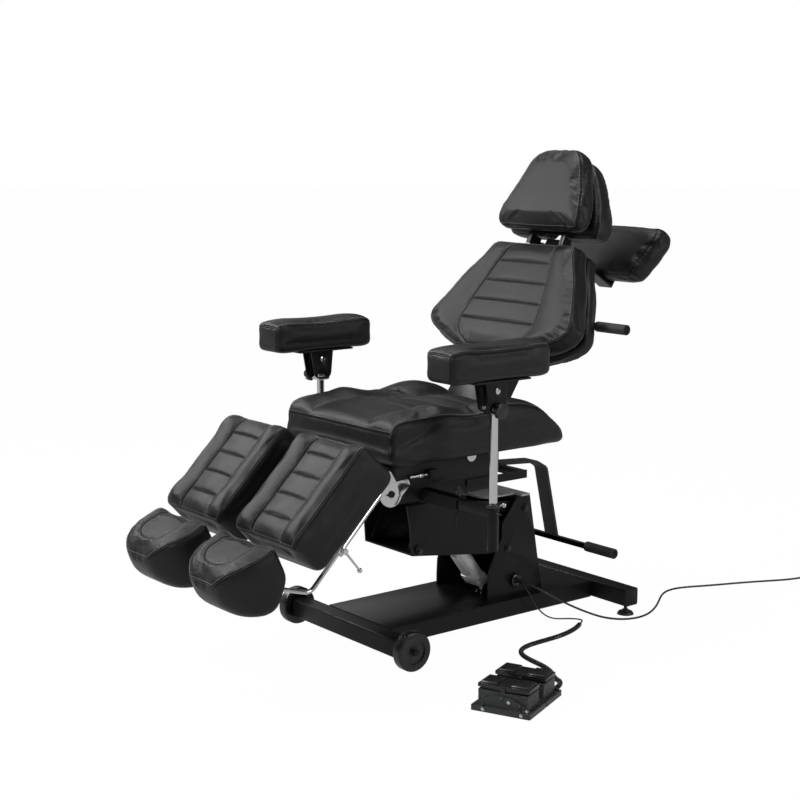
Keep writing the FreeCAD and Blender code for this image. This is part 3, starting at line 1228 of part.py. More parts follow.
def headrest_rods():
    rods = []
    x = BACK_TOP + HEAD_PIN_RISE
    z = BACK_FACE - HEAD_PIN_DEPTH
    for side in (-1, 1):
        y = side * GUIDE_Y
        shaft = rod(V(BACK_TOP - GUIDE_LENGTH, y, z), V(1, 0, 0), HEAD_ROD, x - BACK_TOP + GUIDE_LENGTH)
        eye = lateral(x, z, y - HEAD_EYE_WIDTH / 2, y + HEAD_EYE_WIDTH / 2, HEAD_EYE)
        reach = HEAD_EAR_Y + HEAD_EAR + GAP
        pin = lateral(x, z, min(y, side * reach), max(y, side * reach), HEAD_PIN)
        rods.append(placed(joined([shaft, eye, pin]), *back_local()))
    return Part.makeCompound(rods)


def headrest_plate():
    z1 = HEAD_FACE - HEAD_FRONT_THICKNESS
    z0 = z1 - HEAD_PLATE
    half = HEAD_PLATE_WIDTH / 2
    low = -HEAD_EYE / 2
    plate = bar(low, low + HEAD_PLATE_LENGTH, -half, half, z0, z1)
    opening = bar(low - OVERRUN, HEAD_BOTTOM - HEAD_PLATE, -HEAD_EAR_Y, HEAD_EAR_Y, z0 - OVERRUN, z1 + OVERRUN)
    pieces = [plate.cut(opening)]
    for side in (-1, 1):
        y0 = HEAD_EAR_Y if side > 0 else -HEAD_EAR_Y - HEAD_EAR
        ear = bar(low, HEAD_BOTTOM - HEAD_PLATE, y0, y0 + HEAD_EAR, 0, z1)
        nose = lateral(0, 0, y0, y0 + HEAD_EAR, HEAD_EYE)
        pieces += [ear, nose]
    body = joined(pieces)
    body = body.cut(lateral(0, 0, -half, half, HEAD_PIN + FIT * 2))
    return placed(body, *head_local())


def headrest_pad_front():
    body = plain_cushion(HEAD_LENGTH, HEAD_WIDTH, HEAD_FRONT_THICKNESS, HEAD_STATION_SHARES,
                         HEAD_EDGE, HEAD_PULL, HEAD_CROWN)
    body.translate(V(HEAD_BOTTOM + HEAD_LENGTH, 0, HEAD_FACE))
    return placed(body, *head_local())


def headrest_pad_rear():
    body = plain_cushion(HEAD_REAR_LENGTH, HEAD_REAR_WIDTH, HEAD_REAR_THICKNESS, HEAD_REAR_STATION_SHARES,
                         HEAD_EDGE, HEAD_PULL, HEAD_CROWN)
    body.rotate(V(0, 0, 0), V(1, 0, 0), 180)
    z = HEAD_FACE - HEAD_FRONT_THICKNESS - HEAD_PLATE - HEAD_REAR_THICKNESS
    body.translate(V(HEAD_BOTTOM + HEAD_REAR_LENGTH, 0, z))
    notch = bar(0, HEAD_BOTTOM + HEAD_NOTCH_DEPTH, -HEAD_NOTCH_WIDTH / 2, HEAD_NOTCH_WIDTH / 2,
                -HEAD_REAR_THICKNESS * 2, HEAD_REAR_THICKNESS * 2)
    return placed(body.cut(notch), *head_local())


def rear_rest_arm():
    z_start = BACK_FACE - BACK_FRONT_THICKNESS - BACK_PLATE
    z_pad = BACK_FACE - REST_DEPTH - REST_THICKNESS
    z_end = z_pad - REST_ARM_THICKNESS
    x = BACK_TOP + NECK_RISE - REST_ARM_THICKNESS
    half = NECK_WIDTH / 2
    leg = bar(x, x + REST_ARM_THICKNESS, -half, half, z_end, z_start)
    climb = bar(x, x + REST_ARM_CLIMB, -half, half, z_end, z_pad)
    brace = slab([V(x + REST_ARM_THICKNESS, -REST_ARM_THICKNESS / 2, z_start), V(x, -REST_ARM_THICKNESS / 2, z_start),
                  V(x, -REST_ARM_THICKNESS / 2, z_pad)], [0] * 3, V(0, REST_ARM_THICKNESS, 0))
    return placed(joined([leg, climb, brace]), *back_local())


def rear_rest_pad():
    body = plain_cushion(REST_LENGTH, REST_WIDTH, REST_THICKNESS, REST_STATION_SHARES,
                         REST_EDGE, HEAD_PULL, REST_CROWN)
    body.translate(V(BACK_TOP + REST_RISE + REST_LENGTH, 0, BACK_FACE - REST_DEPTH))
    return placed(body, *back_local())


def foot_bar():
    x0 = TURN_X + TAIL_BAR_REACH - TAIL_CROSS_INSET - STRAP_FORWARD / 2
    z0 = FRAME_BOTTOM + TAIL_BAR_LIFT + TAIL_BAR_DEPTH + STRAP_THICKNESS / 2
    centre = [V(x0, 0, z0), V(x0 + STRAP_FORWARD, 0, z0), V(x0 + STRAP_REACH, 0, z0 - STRAP_FALL),
              V(x0 + STRAP_BEND_REACH, 0, z0 - STRAP_BEND_FALL), V(x0 + STRAP_END_REACH, 0, z0 - STRAP_END_FALL)]
    path = rounded_path(centre, [0, STRAP_BEND, STRAP_BEND, STRAP_BEND, 0], False)
    w = STRAP_WIDTH / 2
    t = STRAP_THICKNESS / 2
    section = Part.makePolygon([V(x0, -w, z0 - t), V(x0, w, z0 - t), V(x0, w, z0 + t), V(x0, -w, z0 + t),
                                V(x0, -w, z0 - t)])
    strap = path.makePipeShell([section], True, True)
    end = centre[-1]
    half = FOOT_BAR_LENGTH / 2
    tube = lateral(end.x, end.z, -half, half, FOOT_BAR_DIAMETER)
    frame = joined([strap, tube])
    grips = []
    for side in (-1, 1):
        y0 = min(side * half, side * (half - FOOT_GRIP_LENGTH))
        grip = lateral(end.x, end.z, y0, y0 + FOOT_GRIP_LENGTH, FOOT_GRIP_DIAMETER)
        grips.append(grip.cut(lateral(end.x, end.z, -half, half, FOOT_BAR_DIAMETER)))
    return Part.makeCompound([frame] + grips)


def arm_beam():
    half = SLEEVE_SIZE / 2 - SLEEVE_WALL
    outer = SOCKET_Y - SOCKET_DIAMETER / 2
    beam = bar(SLEEVE_X - half, SLEEVE_X + half, BEAM_START, outer + half / 2, SLEEVE_Z - half, SLEEVE_Z + half)
    wall = FIT + BAR_WALL
    beam = beam.cut(bar(SLEEVE_X - half + wall, SLEEVE_X + half - wall, BEAM_START - OVERRUN, outer - OVERRUN / 2,
                        SLEEVE_Z - half + wall, SLEEVE_Z + half - wall))
    socket = rod(V(SLEEVE_X, SOCKET_Y, SOCKET_BOTTOM), V(0, 0, 1), SOCKET_DIAMETER, SOCKET_LENGTH)
    bolt = rod(V(SLEEVE_X, SOCKET_Y + POST_DIAMETER / 2 + FIT * 2, SOCKET_BOTTOM + SOCKET_LENGTH - CLAMP_BOLT * 1.5),
               V(0, 1, 0), CLAMP_BOLT, CLAMP_BOLT_LENGTH)
    body = joined([beam, socket, bolt])
    return body.cut(rod(V(SLEEVE_X, SOCKET_Y, SOCKET_BOTTOM + BAR_WALL), V(0, 0, 1), POST_DIAMETER + FIT * 2,
                        SOCKET_LENGTH * 2))


def post_bottom():
    return SOCKET_BOTTOM + BAR_WALL + GAP


def tilt_pivot():
    return V(SLEEVE_X - ARM_TILT_FORWARD, SOCKET_Y, post_bottom() + POST_LENGTH - POST_PIVOT_DROP)


def arm_post():
    z0 = post_bottom()
    pivot = tilt_pivot()
    tube = rod(V(SLEEVE_X, SOCKET_Y, z0), V(0, 0, 1), POST_DIAMETER, POST_LENGTH)
    half = HEAD_BLOCK_WIDTH / 2
    bottom = pivot.z - TILT_SLOT_DROP - KNOB_HUB
    block = bar(SLEEVE_X - HEAD_BLOCK_LENGTH / 2, SLEEVE_X + HEAD_BLOCK_LENGTH / 2, SOCKET_Y - half,
                SOCKET_Y + half, bottom, pivot.z + ARM_TILT_DROP * 0.35)
    block = block.makeFillet(BAR_CORNER, [e for e in block.Edges if abs(e.Length - HEAD_BLOCK_WIDTH) < FIT])
    reach = half + CLEVIS_PLATE + GAP * 2
    pin = lateral(pivot.x, pivot.z, SOCKET_Y - reach, SOCKET_Y + reach, ARM_TILT_PIN)
    heads = [lateral(pivot.x, pivot.z, SOCKET_Y + reach, SOCKET_Y + reach + BAR_WALL, ARM_TILT_PIN * 1.8),
             lateral(pivot.x, pivot.z, SOCKET_Y - reach - BAR_WALL, SOCKET_Y - reach, ARM_TILT_PIN * 1.8)]
    body = joined([tube, block, pin] + heads)
    stud_way = lateral(pivot.x, pivot.z - TILT_SLOT_DROP, SOCKET_Y, SOCKET_Y + half + FIT, KNOB_STUD + FIT * 2)
    return body.cut(stud_way)


def arm_bracket():
    pivot = tilt_pivot()
    half = HEAD_BLOCK_WIDTH / 2 + GAP
    top = pivot.z + ARM_TILT_DROP
    mid = pivot.x
    wide = CLEVIS_LENGTH / 2
    foot = wide * CLEVIS_FOOT_SHARE
    low = top - CLEVIS_HEIGHT
    outline = [V(mid - wide, 0, top), V(mid + wide, 0, top), V(mid + CLEVIS_LEAN + foot, 0, low),
               V(mid + CLEVIS_LEAN - foot, 0, low)]
    pieces = []
    for y0 in (SOCKET_Y + half, SOCKET_Y - half - CLEVIS_PLATE):
        plate = slab([p + V(0, y0, 0) for p in outline], [0, 0, CLEVIS_FOOT_RADIUS, CLEVIS_FOOT_RADIUS],
                     V(0, CLEVIS_PLATE, 0))
        pieces.append(plate)
    pieces.append(bar(mid - PAD_PLATE_LENGTH / 2, mid + PAD_PLATE_LENGTH / 2, SOCKET_Y - PAD_PLATE_WIDTH / 2,
                      SOCKET_Y + PAD_PLATE_WIDTH / 2, top, top + PAD_PLATE))
    body = joined(pieces)
    hole = lateral(pivot.x, pivot.z, SOCKET_Y - half * 2, SOCKET_Y + half * 2, ARM_TILT_PIN + FIT * 2)
    arc_inner = TILT_SLOT_DROP - TILT_SLOT_WIDTH / 2
    arc_outer = TILT_SLOT_DROP + TILT_SLOT_WIDTH / 2
    ring = lateral(pivot.x, pivot.z, SOCKET_Y - half * 2, SOCKET_Y + half * 2, arc_outer * 2)
    ring = ring.cut(lateral(pivot.x, pivot.z, SOCKET_Y - half * 3, SOCKET_Y + half * 3, arc_inner * 2))
    spread = TILT_SLOT_DROP * math.tan(math.radians(TILT_SLOT_ANGLE + 4)) * 2
    wedge = slab([V(pivot.x, SOCKET_Y - half * 2, pivot.z),
                  V(pivot.x - spread, SOCKET_Y - half * 2, pivot.z - TILT_SLOT_DROP * 2),
                  V(pivot.x + spread, SOCKET_Y - half * 2, pivot.z - TILT_SLOT_DROP * 2)], [0] * 3,
                 V(0, half * 4, 0))
    return minus(body, [hole, ring.common(wedge)])


def arm_pad():
    pivot = tilt_pivot()
    body = plain_cushion(ARM_PAD_LENGTH, ARM_PAD_WIDTH, ARM_PAD_THICKNESS, ARM_PAD_STATION_SHARES,
                         ARM_PAD_EDGE, ARM_PAD_PULL, ARM_PAD_CROWN)
    body.translate(V(SLEEVE_X + ARM_PAD_BACK, SOCKET_Y, pivot.z + ARM_TILT_DROP + PAD_PLATE + ARM_PAD_THICKNESS))
    return body


def star_knob(diameter, depth, neck, stud):
    # Local +Z is the knob's axis: stud below zero, neck and lobed grip above
    body = Part.makeCylinder(diameter / 2, depth, V(0, 0, neck))
    rims = [e for e in body.Edges if isinstance(e.Curve, Part.Circle)]
    body = body.makeFillet(depth * 0.18, rims)
    notch = diameter * KNOB_NOTCH_SHARE / 2
    seat = diameter / 2 * KNOB_NOTCH_SEAT_SHARE
    for i in range(KNOB_LOBES):
        a = i * math.tau / KNOB_LOBES
        body = body.cut(Part.makeCylinder(notch, depth * 2, V(seat * math.cos(a), seat * math.sin(a), 0)))
    hub = Part.makeCylinder(KNOB_HUB / 2, neck)
    screw = Part.makeCylinder(KNOB_STUD / 2, stud + neck, V(0, 0, -stud))
    return joined([body, hub, screw])


def tilt_knob():
    pivot = tilt_pivot()
    half = HEAD_BLOCK_WIDTH / 2
    knob = star_knob(KNOB_DIAMETER, KNOB_DEPTH, KNOB_NECK, half / 2 + CLEVIS_PLATE + GAP * 2)
    knob.rotate(V(0, 0, 0), V(1, 0, 0), -90)
    knob.translate(V(pivot.x, SOCKET_Y + half + CLEVIS_PLATE + GAP * 2, pivot.z - TILT_SLOT_DROP))
    return knob


def beam_knob():
    side = SLEEVE_SIZE / 2
    lean = V(0, 1, 1)
    lean.normalize()
    seat = V(SLEEVE_X, SLEEVE_LENGTH / 2 - BEAM_KNOB_INSET, SLEEVE_Z + side) + lean * (BEAM_BOSS_LENGTH - side * 0.2 + GAP)
    beam_top = SLEEVE_Z + side - SLEEVE_WALL
    stud = (seat.z - beam_top) / lean.z - KNOB_STUD / 2 - GAP * 2
    knob = star_knob(BEAM_KNOB_DIAMETER, BEAM_KNOB_DEPTH, KNOB_NECK, stud)
    knob.rotate(V(0, 0, 0), V(1, 0, 0), -45)
    knob.translate(seat)
    return knob


def leg_local():
    return LEG_PIVOT, LEG_ANGLE


def leg_board_slope():
    return math.degrees(math.atan(LEG_PAD_THICKNESS * LEG_BOARD_SLOPE_SHARE / LEG_PAD_LENGTH))


def leg_frame():
    y0 = LEG_ROD_Y - LEG_PLATE / 2
    y1 = LEG_ROD_Y + LEG_PLATE / 2
    pieces = [lateral(0, 0, y0, y1, SECTOR_RADIUS * 2)]
    for reach, angle, width in ((SECTOR_HORN, SECTOR_HORN_ANGLE, SECTOR_EAR_WIDTH),
                                (SECTOR_EAR, SECTOR_EAR_ANGLE, SECTOR_EAR_WIDTH)):
        horn = slab([V(0, y0, SECTOR_RADIUS * 0.9), V(reach, y0, width / 2), V(reach, y0, -width / 2),
                     V(0, y0, -SECTOR_RADIUS * 0.9)], [0, width * 0.45, width * 0.45, 0], V(0, LEG_PLATE, 0))
        pieces.append(turned(horn, angle - LEG_ANGLE))
    tube_z = LEG_TUBE_BACK
    tube = rod(V(-LEG_TUBE_START, LEG_ROD_Y, tube_z), V(-1, 0, 0), LEG_TUBE, LEG_TUBE_END - LEG_TUBE_START)
    collar = rod(V(LEG_COLLAR_LENGTH / 2 - LEG_TUBE_END, LEG_ROD_Y, tube_z), V(-1, 0, 0),
                 LEG_COLLAR, LEG_COLLAR_LENGTH)
    pieces += [tube, collar]
    slope = leg_board_slope()
    board = bar(-LEG_BOARD_INSET - LEG_BOARD_LENGTH, -LEG_BOARD_INSET, -LEG_BOARD_WIDTH / 2,
                LEG_BOARD_WIDTH / 2, -LEG_BOARD_THICKNESS, 0)
    board = placed(board, V(LEG_PAD_TOP, LEG_PAD_Y, LEG_PAD_FACE - LEG_PAD_THICKNESS), -slope)
    pieces.append(board)
    for share in LEG_STANDOFF_SHARES:
        x = -LEG_BOARD_INSET - LEG_BOARD_LENGTH * share
        foot = placed(Part.Vertex(V(x, 0, -LEG_BOARD_THICKNESS / 2)), V(LEG_PAD_TOP, 0, LEG_PAD_FACE - LEG_PAD_THICKNESS),
                      -slope).Point
        pieces.append(bar(foot.x - LEG_STANDOFF_LENGTH / 2, foot.x + LEG_STANDOFF_LENGTH / 2,
                          LEG_ROD_Y - LEG_STANDOFF / 2, LEG_ROD_Y + LEG_STANDOFF / 2, tube_z, foot.z))
    body = joined(pieces)
    hole = lateral(0, 0, y0 - FIT, y1 + FIT, LEG_PIVOT_PIN + FIT * 2)
    bore = rod(V(-LEG_TUBE_END + LEG_ROD_INSIDE + OVERRUN * 0.6, LEG_ROD_Y, tube_z), V(-1, 0, 0), LEG_ROD + FIT * 2,
               LEG_TUBE_END)
    screw = lateral(-LEG_TUBE_END, tube_z, LEG_ROD_Y - LEG_COLLAR, LEG_ROD_Y, LEVER_ROD + FIT * 2)
    return placed(minus(body, [hole, bore, screw]), *leg_local())


def leg_pad():
    body = seamed_cushion(LEG_PAD_LENGTH, LEG_PAD_WIDTH, LEG_PAD_THICKNESS, LEG_STATION_SHARES,
                          LEG_PAD_EDGE, LEG_PAD_PULL, LEG_PAD_CROWN, LEG_PANEL_SHARE, LEG_PAD_Y)
    channels = cross_channels(LEG_PAD_LENGTH, LEG_PAD_WIDTH, LEG_PAD_THICKNESS, LEG_STATION_SHARES,
                              LEG_CHANNEL_SHARES, LEG_PAD_EDGE, LEG_PANEL_SHARE, LEG_PAD_Y)
    body = minus(body, channels)
    body.translate(V(LEG_PAD_TOP, 0, LEG_PAD_FACE))
    return placed(body, *leg_local())


def leg_rod():
    z = LEG_TUBE_BACK
    start = V(-LEG_TUBE_END + LEG_ROD_INSIDE, LEG_ROD_Y, z)
    plate = foot_plate_place()
    points = [start, V(-LEG_ROD_END, LEG_ROD_Y, z), V(plate.x, LEG_ROD_Y, plate.z)]
    shaft = round_bar(points, LEG_ROD_BEND, LEG_ROD)
    flat = bar(-FOOT_PLATE_LENGTH / 2, FOOT_PLATE_LENGTH / 2, LEG_ROD_Y - FOOT_PLATE_WIDTH / 2,
               LEG_ROD_Y + FOOT_PLATE_WIDTH / 2, -FOOT_PLATE, 0)
    flat = placed(flat, plate, FOOT_PLATE_SLOPE - FOOT_TILT)
    return placed(joined([shaft, flat]), *leg_local())


def foot_plate_place():
    row = row_at(FOOT_STATION_SHARES, FOOT_PLATE_AT_SHARE)
    spot = V(-FOOT_LENGTH * FOOT_PLATE_AT_SHARE, 0, FOOT_THICKNESS * (row[2] - 1))
    return world(V(-FOOT_FORWARD, 0, FOOT_FACE), -FOOT_TILT, spot)


def foot_pad():
    body = seamed_cushion(FOOT_LENGTH, FOOT_WIDTH, FOOT_THICKNESS, FOOT_STATION_SHARES,
                          FOOT_EDGE, FOOT_PULL, FOOT_CROWN, FOOT_PANEL_SHARE, LEG_PAD_Y + FOOT_INWARD)
    body = placed(body, V(-FOOT_FORWARD, 0, FOOT_FACE), -FOOT_TILT)
    # A flat seat for the rod's plate is pressed into the underside
    seat = bar(-FOOT_PLATE_LENGTH, FOOT_PLATE_LENGTH, LEG_ROD_Y - FOOT_PLATE_WIDTH, LEG_ROD_Y + FOOT_PLATE_WIDTH,
               -FOOT_THICKNESS / 2, 0)
    seat = placed(seat, foot_plate_place(), FOOT_PLATE_SLOPE - FOOT_TILT)
    return placed(body.cut(seat), *leg_local())


def leg_lever():
    collar = LEG_COLLAR / 2
    screw = lateral(0, 0, -collar - GAP, LEG_ROD / -2 - GAP, LEVER_ROD)
    hub = lateral(0, 0, -collar - GAP - LEVER_HUB_DEPTH, -collar - GAP, LEVER_HUB)
    y = -collar - GAP - LEVER_HUB_DEPTH / 2
    arm = Part.makeCone(LEVER_ROD / 2, LEVER_ROD * 0.4, LEVER_REACH, V(0, y, 0), V(-1, 0, 0))
    ball = Part.makeSphere(LEVER_KNOB / 2, V(-LEVER_REACH, y, 0), V(-1, 0, 0))
    lever = joined([screw, hub, arm, ball])
    lever = turned(lever, LEVER_DROP_ANGLE)
    lever.translate(V(-LEG_TUBE_END, LEG_ROD_Y, LEG_TUBE_BACK))
    return placed(lever, *leg_local())


def hook():
    # A bent rod under the near sleeve, for hanging the pedal on
    low = SLEEVE_Z - SLEEVE_SIZE / 2
    points = [V(SLEEVE_X, -HOOK_Y - HOOK_OUT, low + HOOK_DIAMETER / 2), V(SLEEVE_X, -HOOK_Y - HOOK_OUT, low - HOOK_OUT),
              V(SLEEVE_X, -HOOK_Y, low - HOOK_OUT), V(SLEEVE_X, -HOOK_Y, low - HOOK_DROP)]
    return round_bar(points, HOOK_BEND, HOOK_DIAMETER)


def pedal_place(shape):
    copy = shape.copy()
    copy.rotate(V(0, 0, 0), V(0, 0, 1), PEDAL_TURN)
    copy.translate(V(PEDAL_X, PEDAL_Y, 0))
    return copy


def pedal_units():
    return (-1, PEDAL_UNIT / -2), (1, PEDAL_UNIT / 2)


def rocker_pivot():
    return PEDAL_BODY_HEIGHT + PEDAL_ROCKER_THICKNESS / 2


def pedal_ear(y, way):
    # A low bearing that holds one end of a rocker's pin
    faces = sorted([y + way * (PEDAL_ROCKER_WIDTH / 2 + GAP), y + way * PEDAL_BODY_WIDTH / 2])
    ear = bar(-PEDAL_EAR / 2, PEDAL_EAR / 2, faces[0], faces[1], PEDAL_BODY_HEIGHT - PEDAL_RIM, rocker_pivot() + PEDAL_PIN)
    bore = lateral(0, rocker_pivot(), faces[0] - OVERRUN, faces[1] + OVERRUN, PEDAL_PIN + GAP * 2)
    return ear.cut(bore)


def pedal_base():
    # Local X runs along the rockers, local Y from the first unit to the second
    pieces = []
    length = PEDAL_LENGTH / 2
    for side, y in pedal_units():
        wide = (PEDAL_UNIT - PEDAL_SPLIT) / 2
        y0 = y - wide
        y1 = y + wide
        floor = bar(-length, length, y0, y1, 0, PEDAL_BASE_HEIGHT)
        floor = floor.makeFillet(PEDAL_RIM / 2, [e for e in floor.Edges if abs(e.Length - PEDAL_BASE_HEIGHT) < FIT])
        body = bar(-PEDAL_BODY_LENGTH / 2, PEDAL_BODY_LENGTH / 2, y - PEDAL_BODY_WIDTH / 2, y + PEDAL_BODY_WIDTH / 2,
                   PEDAL_BASE_HEIGHT, PEDAL_BODY_HEIGHT)
        body = body.makeFillet(PEDAL_RIM, [e for e in body.Edges if abs(e.Length - PEDAL_BODY_HEIGHT + PEDAL_BASE_HEIGHT) < FIT])
        pieces += [floor, body]
        cheek_y = y - PEDAL_BODY_WIDTH / 2 - PEDAL_CHEEK if side < 0 else y + PEDAL_BODY_WIDTH / 2
        arch = Part.Wire([
            Part.LineSegment(V(-length, cheek_y, 0), V(length, cheek_y, 0)).toShape(),
            Part.LineSegment(V(length, cheek_y, 0), V(length, cheek_y, PEDAL_BASE_HEIGHT)).toShape(),
            Part.Arc(V(length, cheek_y, PEDAL_BASE_HEIGHT), V(0, cheek_y, PEDAL_ARCH),
                     V(-length, cheek_y, PEDAL_BASE_HEIGHT)).toShape(),
            Part.LineSegment(V(-length, cheek_y, PEDAL_BASE_HEIGHT), V(-length, cheek_y, 0)).toShape(),
        ])
        pieces.append(Part.Face(arch).extrude(V(0, PEDAL_CHEEK, 0)))
        outside = cheek_y if side < 0 else cheek_y + PEDAL_CHEEK
        for a, b in PEDAL_SCREW_SHARES:
            spot = V(a * PEDAL_LENGTH, outside, b * PEDAL_ARCH)
            dome = Part.makeSphere(PEDAL_SCREW / 2, spot)
            pieces.append(dome)
    tie = bar(-length * 0.8, length * 0.8, -PEDAL_SPLIT, PEDAL_SPLIT, 0, PEDAL_BASE_HEIGHT * 0.6)
    pieces.append(tie)
    body = joined(pieces)
    for side, y in pedal_units():
        well = PEDAL_ROCKER_WIDTH / 2 + GAP * 2
        pivot = rocker_pivot()
        trough = bar(-PEDAL_BODY_LENGTH / 2 + PEDAL_RIM, PEDAL_BODY_LENGTH / 2 - PEDAL_RIM, y - well * 0.6, y + well * 0.6,
                     PEDAL_BODY_HEIGHT - PEDAL_RIM * 2, PEDAL_BODY_HEIGHT + OVERRUN)
        body = body.cut(trough)
        body = body.fuse(bar(-PEDAL_RIM, PEDAL_RIM, y - well * 0.6, y + well * 0.6,
                             PEDAL_BODY_HEIGHT - PEDAL_RIM * 2, PEDAL_BODY_HEIGHT))
        body = joined([body] + [pedal_ear(y, way) for way in (-1, 1)])
    body = pedal_place(body.removeSplitter())
    tip, inward = gland_tip()
    gland = Part.makeCone(PEDAL_WIRE / 2 + FIT, GLAND_DIAMETER / 2, GLAND_LENGTH, tip, inward)
    return joined([body, gland])


def pedal_rocker(y):
    z = PEDAL_BODY_HEIGHT + GAP
    half = PEDAL_ROCKER_LENGTH / 2
    wide = PEDAL_ROCKER_WIDTH / 2
    lift = math.tan(math.radians(PEDAL_ROCK)) * half
    outline = [V(-half, y - wide, z + lift), V(0, y - wide, z), V(half, y - wide, z + lift),
               V(half, y - wide, z + lift + PEDAL_ROCKER_THICKNESS),
               V(-half, y - wide, z + lift + PEDAL_ROCKER_THICKNESS)]
    plate = slab(outline, [0] * 5, V(0, wide * 2, 0))
    top = z + lift + PEDAL_ROCKER_THICKNESS
    pads = []
    for side in (-1, 1):
        x = side * (half - PEDAL_RIM - PEDAL_PAD_LENGTH / 2)
        pad = bar(x - PEDAL_PAD_LENGTH / 2, x + PEDAL_PAD_LENGTH / 2, y - wide + PEDAL_RIM, y + wide - PEDAL_RIM,
                  top, top + PEDAL_PAD_HEIGHT)
        pad = pad.makeChamfer(PEDAL_PAD_HEIGHT * 0.4, [e for e in pad.Edges if e.BoundBox.ZMin > top + PEDAL_PAD_HEIGHT / 2])
        pads.append(pad)
    reach = PEDAL_BODY_WIDTH / 2 - GAP
    pin = lateral(0, rocker_pivot(), y - reach, y + reach, PEDAL_PIN)
    return pedal_place(joined([plate, pin] + pads))


def swivel_frame_with_hook():
    return joined([swivel_frame(), hook()])


def rear_cushion():
    body = back_cushion_rear()
    body.rotate(V(0, 0, 0), V(1, 0, 0), 180)
    plate_z0 = BACK_FACE - BACK_FRONT_THICKNESS - BACK_PLATE
    body.translate(V(BACK_TOP, 0, plate_z0 - BACK_REAR_THICKNESS))
    stub = STUB_SIZE / 2 + GAP
    x = BACK_TOP - STUB_DROP
    cutters = [bar(x - stub, x + stub, -stub, stub, plate_z0 - BACK_REAR_THICKNESS * 2, plate_z0 + OVERRUN)]
    for side in (-1, 1):
        y = side * GUIDE_Y
        wide = GUIDE_SIZE / 2 + GAP
        cutters.append(bar(BACK_TOP - GUIDE_INSET - GUIDE_LENGTH * 2, BACK_TOP + OVERRUN, y - wide, y + wide,
                           plate_z0 - GUIDE_SIZE - GAP, plate_z0 + OVERRUN))
    return placed(minus(body, cutters), *back_local())


def tube(points, diameter, word):
    # Straight runs joined by tangent arcs, each arc as large as its two runs allow
    radii = [0]
    for before, here, after in zip(points, points[1:], points[2:]):
        first = here - before
        second = after - here
        half = first.getAngle(second) / 2
        radii.append(min(first.Length, second.Length) * 0.45 / math.tan(half))
    radii.append(0)
    path = rounded_path(points, radii, False)
    ring = Part.Wire(Part.Circle(points[0], points[1] - points[0], diameter / 2).toShape())
    solid = path.makePipeShell([ring], True, False)
    section = math.pi * diameter ** 2 / 4
    print(word, "length", round(path.Length, 1), "least radius", round(min(radii[1:-1]), 1),
          "volume over section", round(solid.Volume / section / path.Length, 4))
    return solid


def two_arcs(start, start_way, end, end_way):
    # A pair of tangent arcs from one directed point to another
    run = end - start
    both_ways = start_way + end_way
    a = 2 * (1 - start_way.dot(end_way))
    b = 2 * run.dot(both_ways)
    c = -run.dot(run)
    step = (-b + math.sqrt(b * b - 4 * a * c)) / (2 * a) if a > 1e-9 else -c / b
    joint = (start + end + (start_way - end_way) * step) * 0.5
    edges = []
    for here, way, there in ((start, start_way, joint), (end, end_way * -1, joint)):
        chord = there - here
        half = way.getAngle(chord)
        if half < 1e-4:
            edges.append((here, None, there))
            continue
        radius = chord.Length / (2 * math.sin(half))
        side = chord - way * chord.dot(way)
        side.normalize()
        arc = half
        middle = here + way * (radius * math.sin(arc)) + side * (radius * (1 - math.cos(arc)))
        edges.append((here, middle, there))
    first, second = edges
    second = (second[2], second[1], second[0])
    shapes = []
    for one, middle, two in (first, second):
        if middle is None:
            shapes.append(Part.LineSegment(one, two).toShape())
        else:
            shapes.append(Part.Arc(one, middle, two).toShape())
    return shapes


def wound(edges, start, way, diameter, word):
    path = Part.Wire(edges)
    ring = Part.Wire(Part.Circle(start, way, diameter / 2).toShape())
    solid = path.makePipeShell([ring], True, False)
    section = math.pi * diameter ** 2 / 4
    print(word, "length", round(path.Length, 1), "volume over section", round(solid.Volume / section / path.Length, 4))
    points = []
    along = []
    total = 0
    for edge in edges:
        count = 6
        for i in range(count):
            points.append(edge.valueAt(edge.FirstParameter + (edge.LastParameter - edge.FirstParameter) * i / count))
            along.append(total + edge.Length * i / count)
        total += edge.Length
    least = None
    apart = diameter * 2.2
    for i in range(len(points)):
        for j in range(i + 1, min(len(points), i + 140)):
            if along[j] - along[i] > apart:
                gap = (points[j] - points[i]).Length - diameter
                least = gap if least is None else min(least, gap)
    print(word, "least gap to itself", round(least, 2))
    return solid


def grommet_centre():
    x = PEDESTAL_FRONT + GROMMET_X_SHARE * PEDESTAL_LENGTH
    z = DECK_TOP + GROMMET_Z_SHARE * PEDESTAL_HEIGHT
    return V(x, -PEDESTAL_WIDTH / 2 - GROMMET_REACH, z)


def coil_start():
    return V(*MAINS_ROUTE[-1])


def mains_cord():
    start = grommet_centre() + V(0, 0, LEAD_SPREAD)
    points = [start, start - V(0, MAINS_DIAMETER * 3, 0)] + [V(*p) for p in MAINS_ROUTE[1:]]
    end = points[-1]
    points.append(V(end.x + MAINS_DIAMETER * 4, end.y, end.z))
    return tube(points, MAINS_DIAMETER, "mains cord")


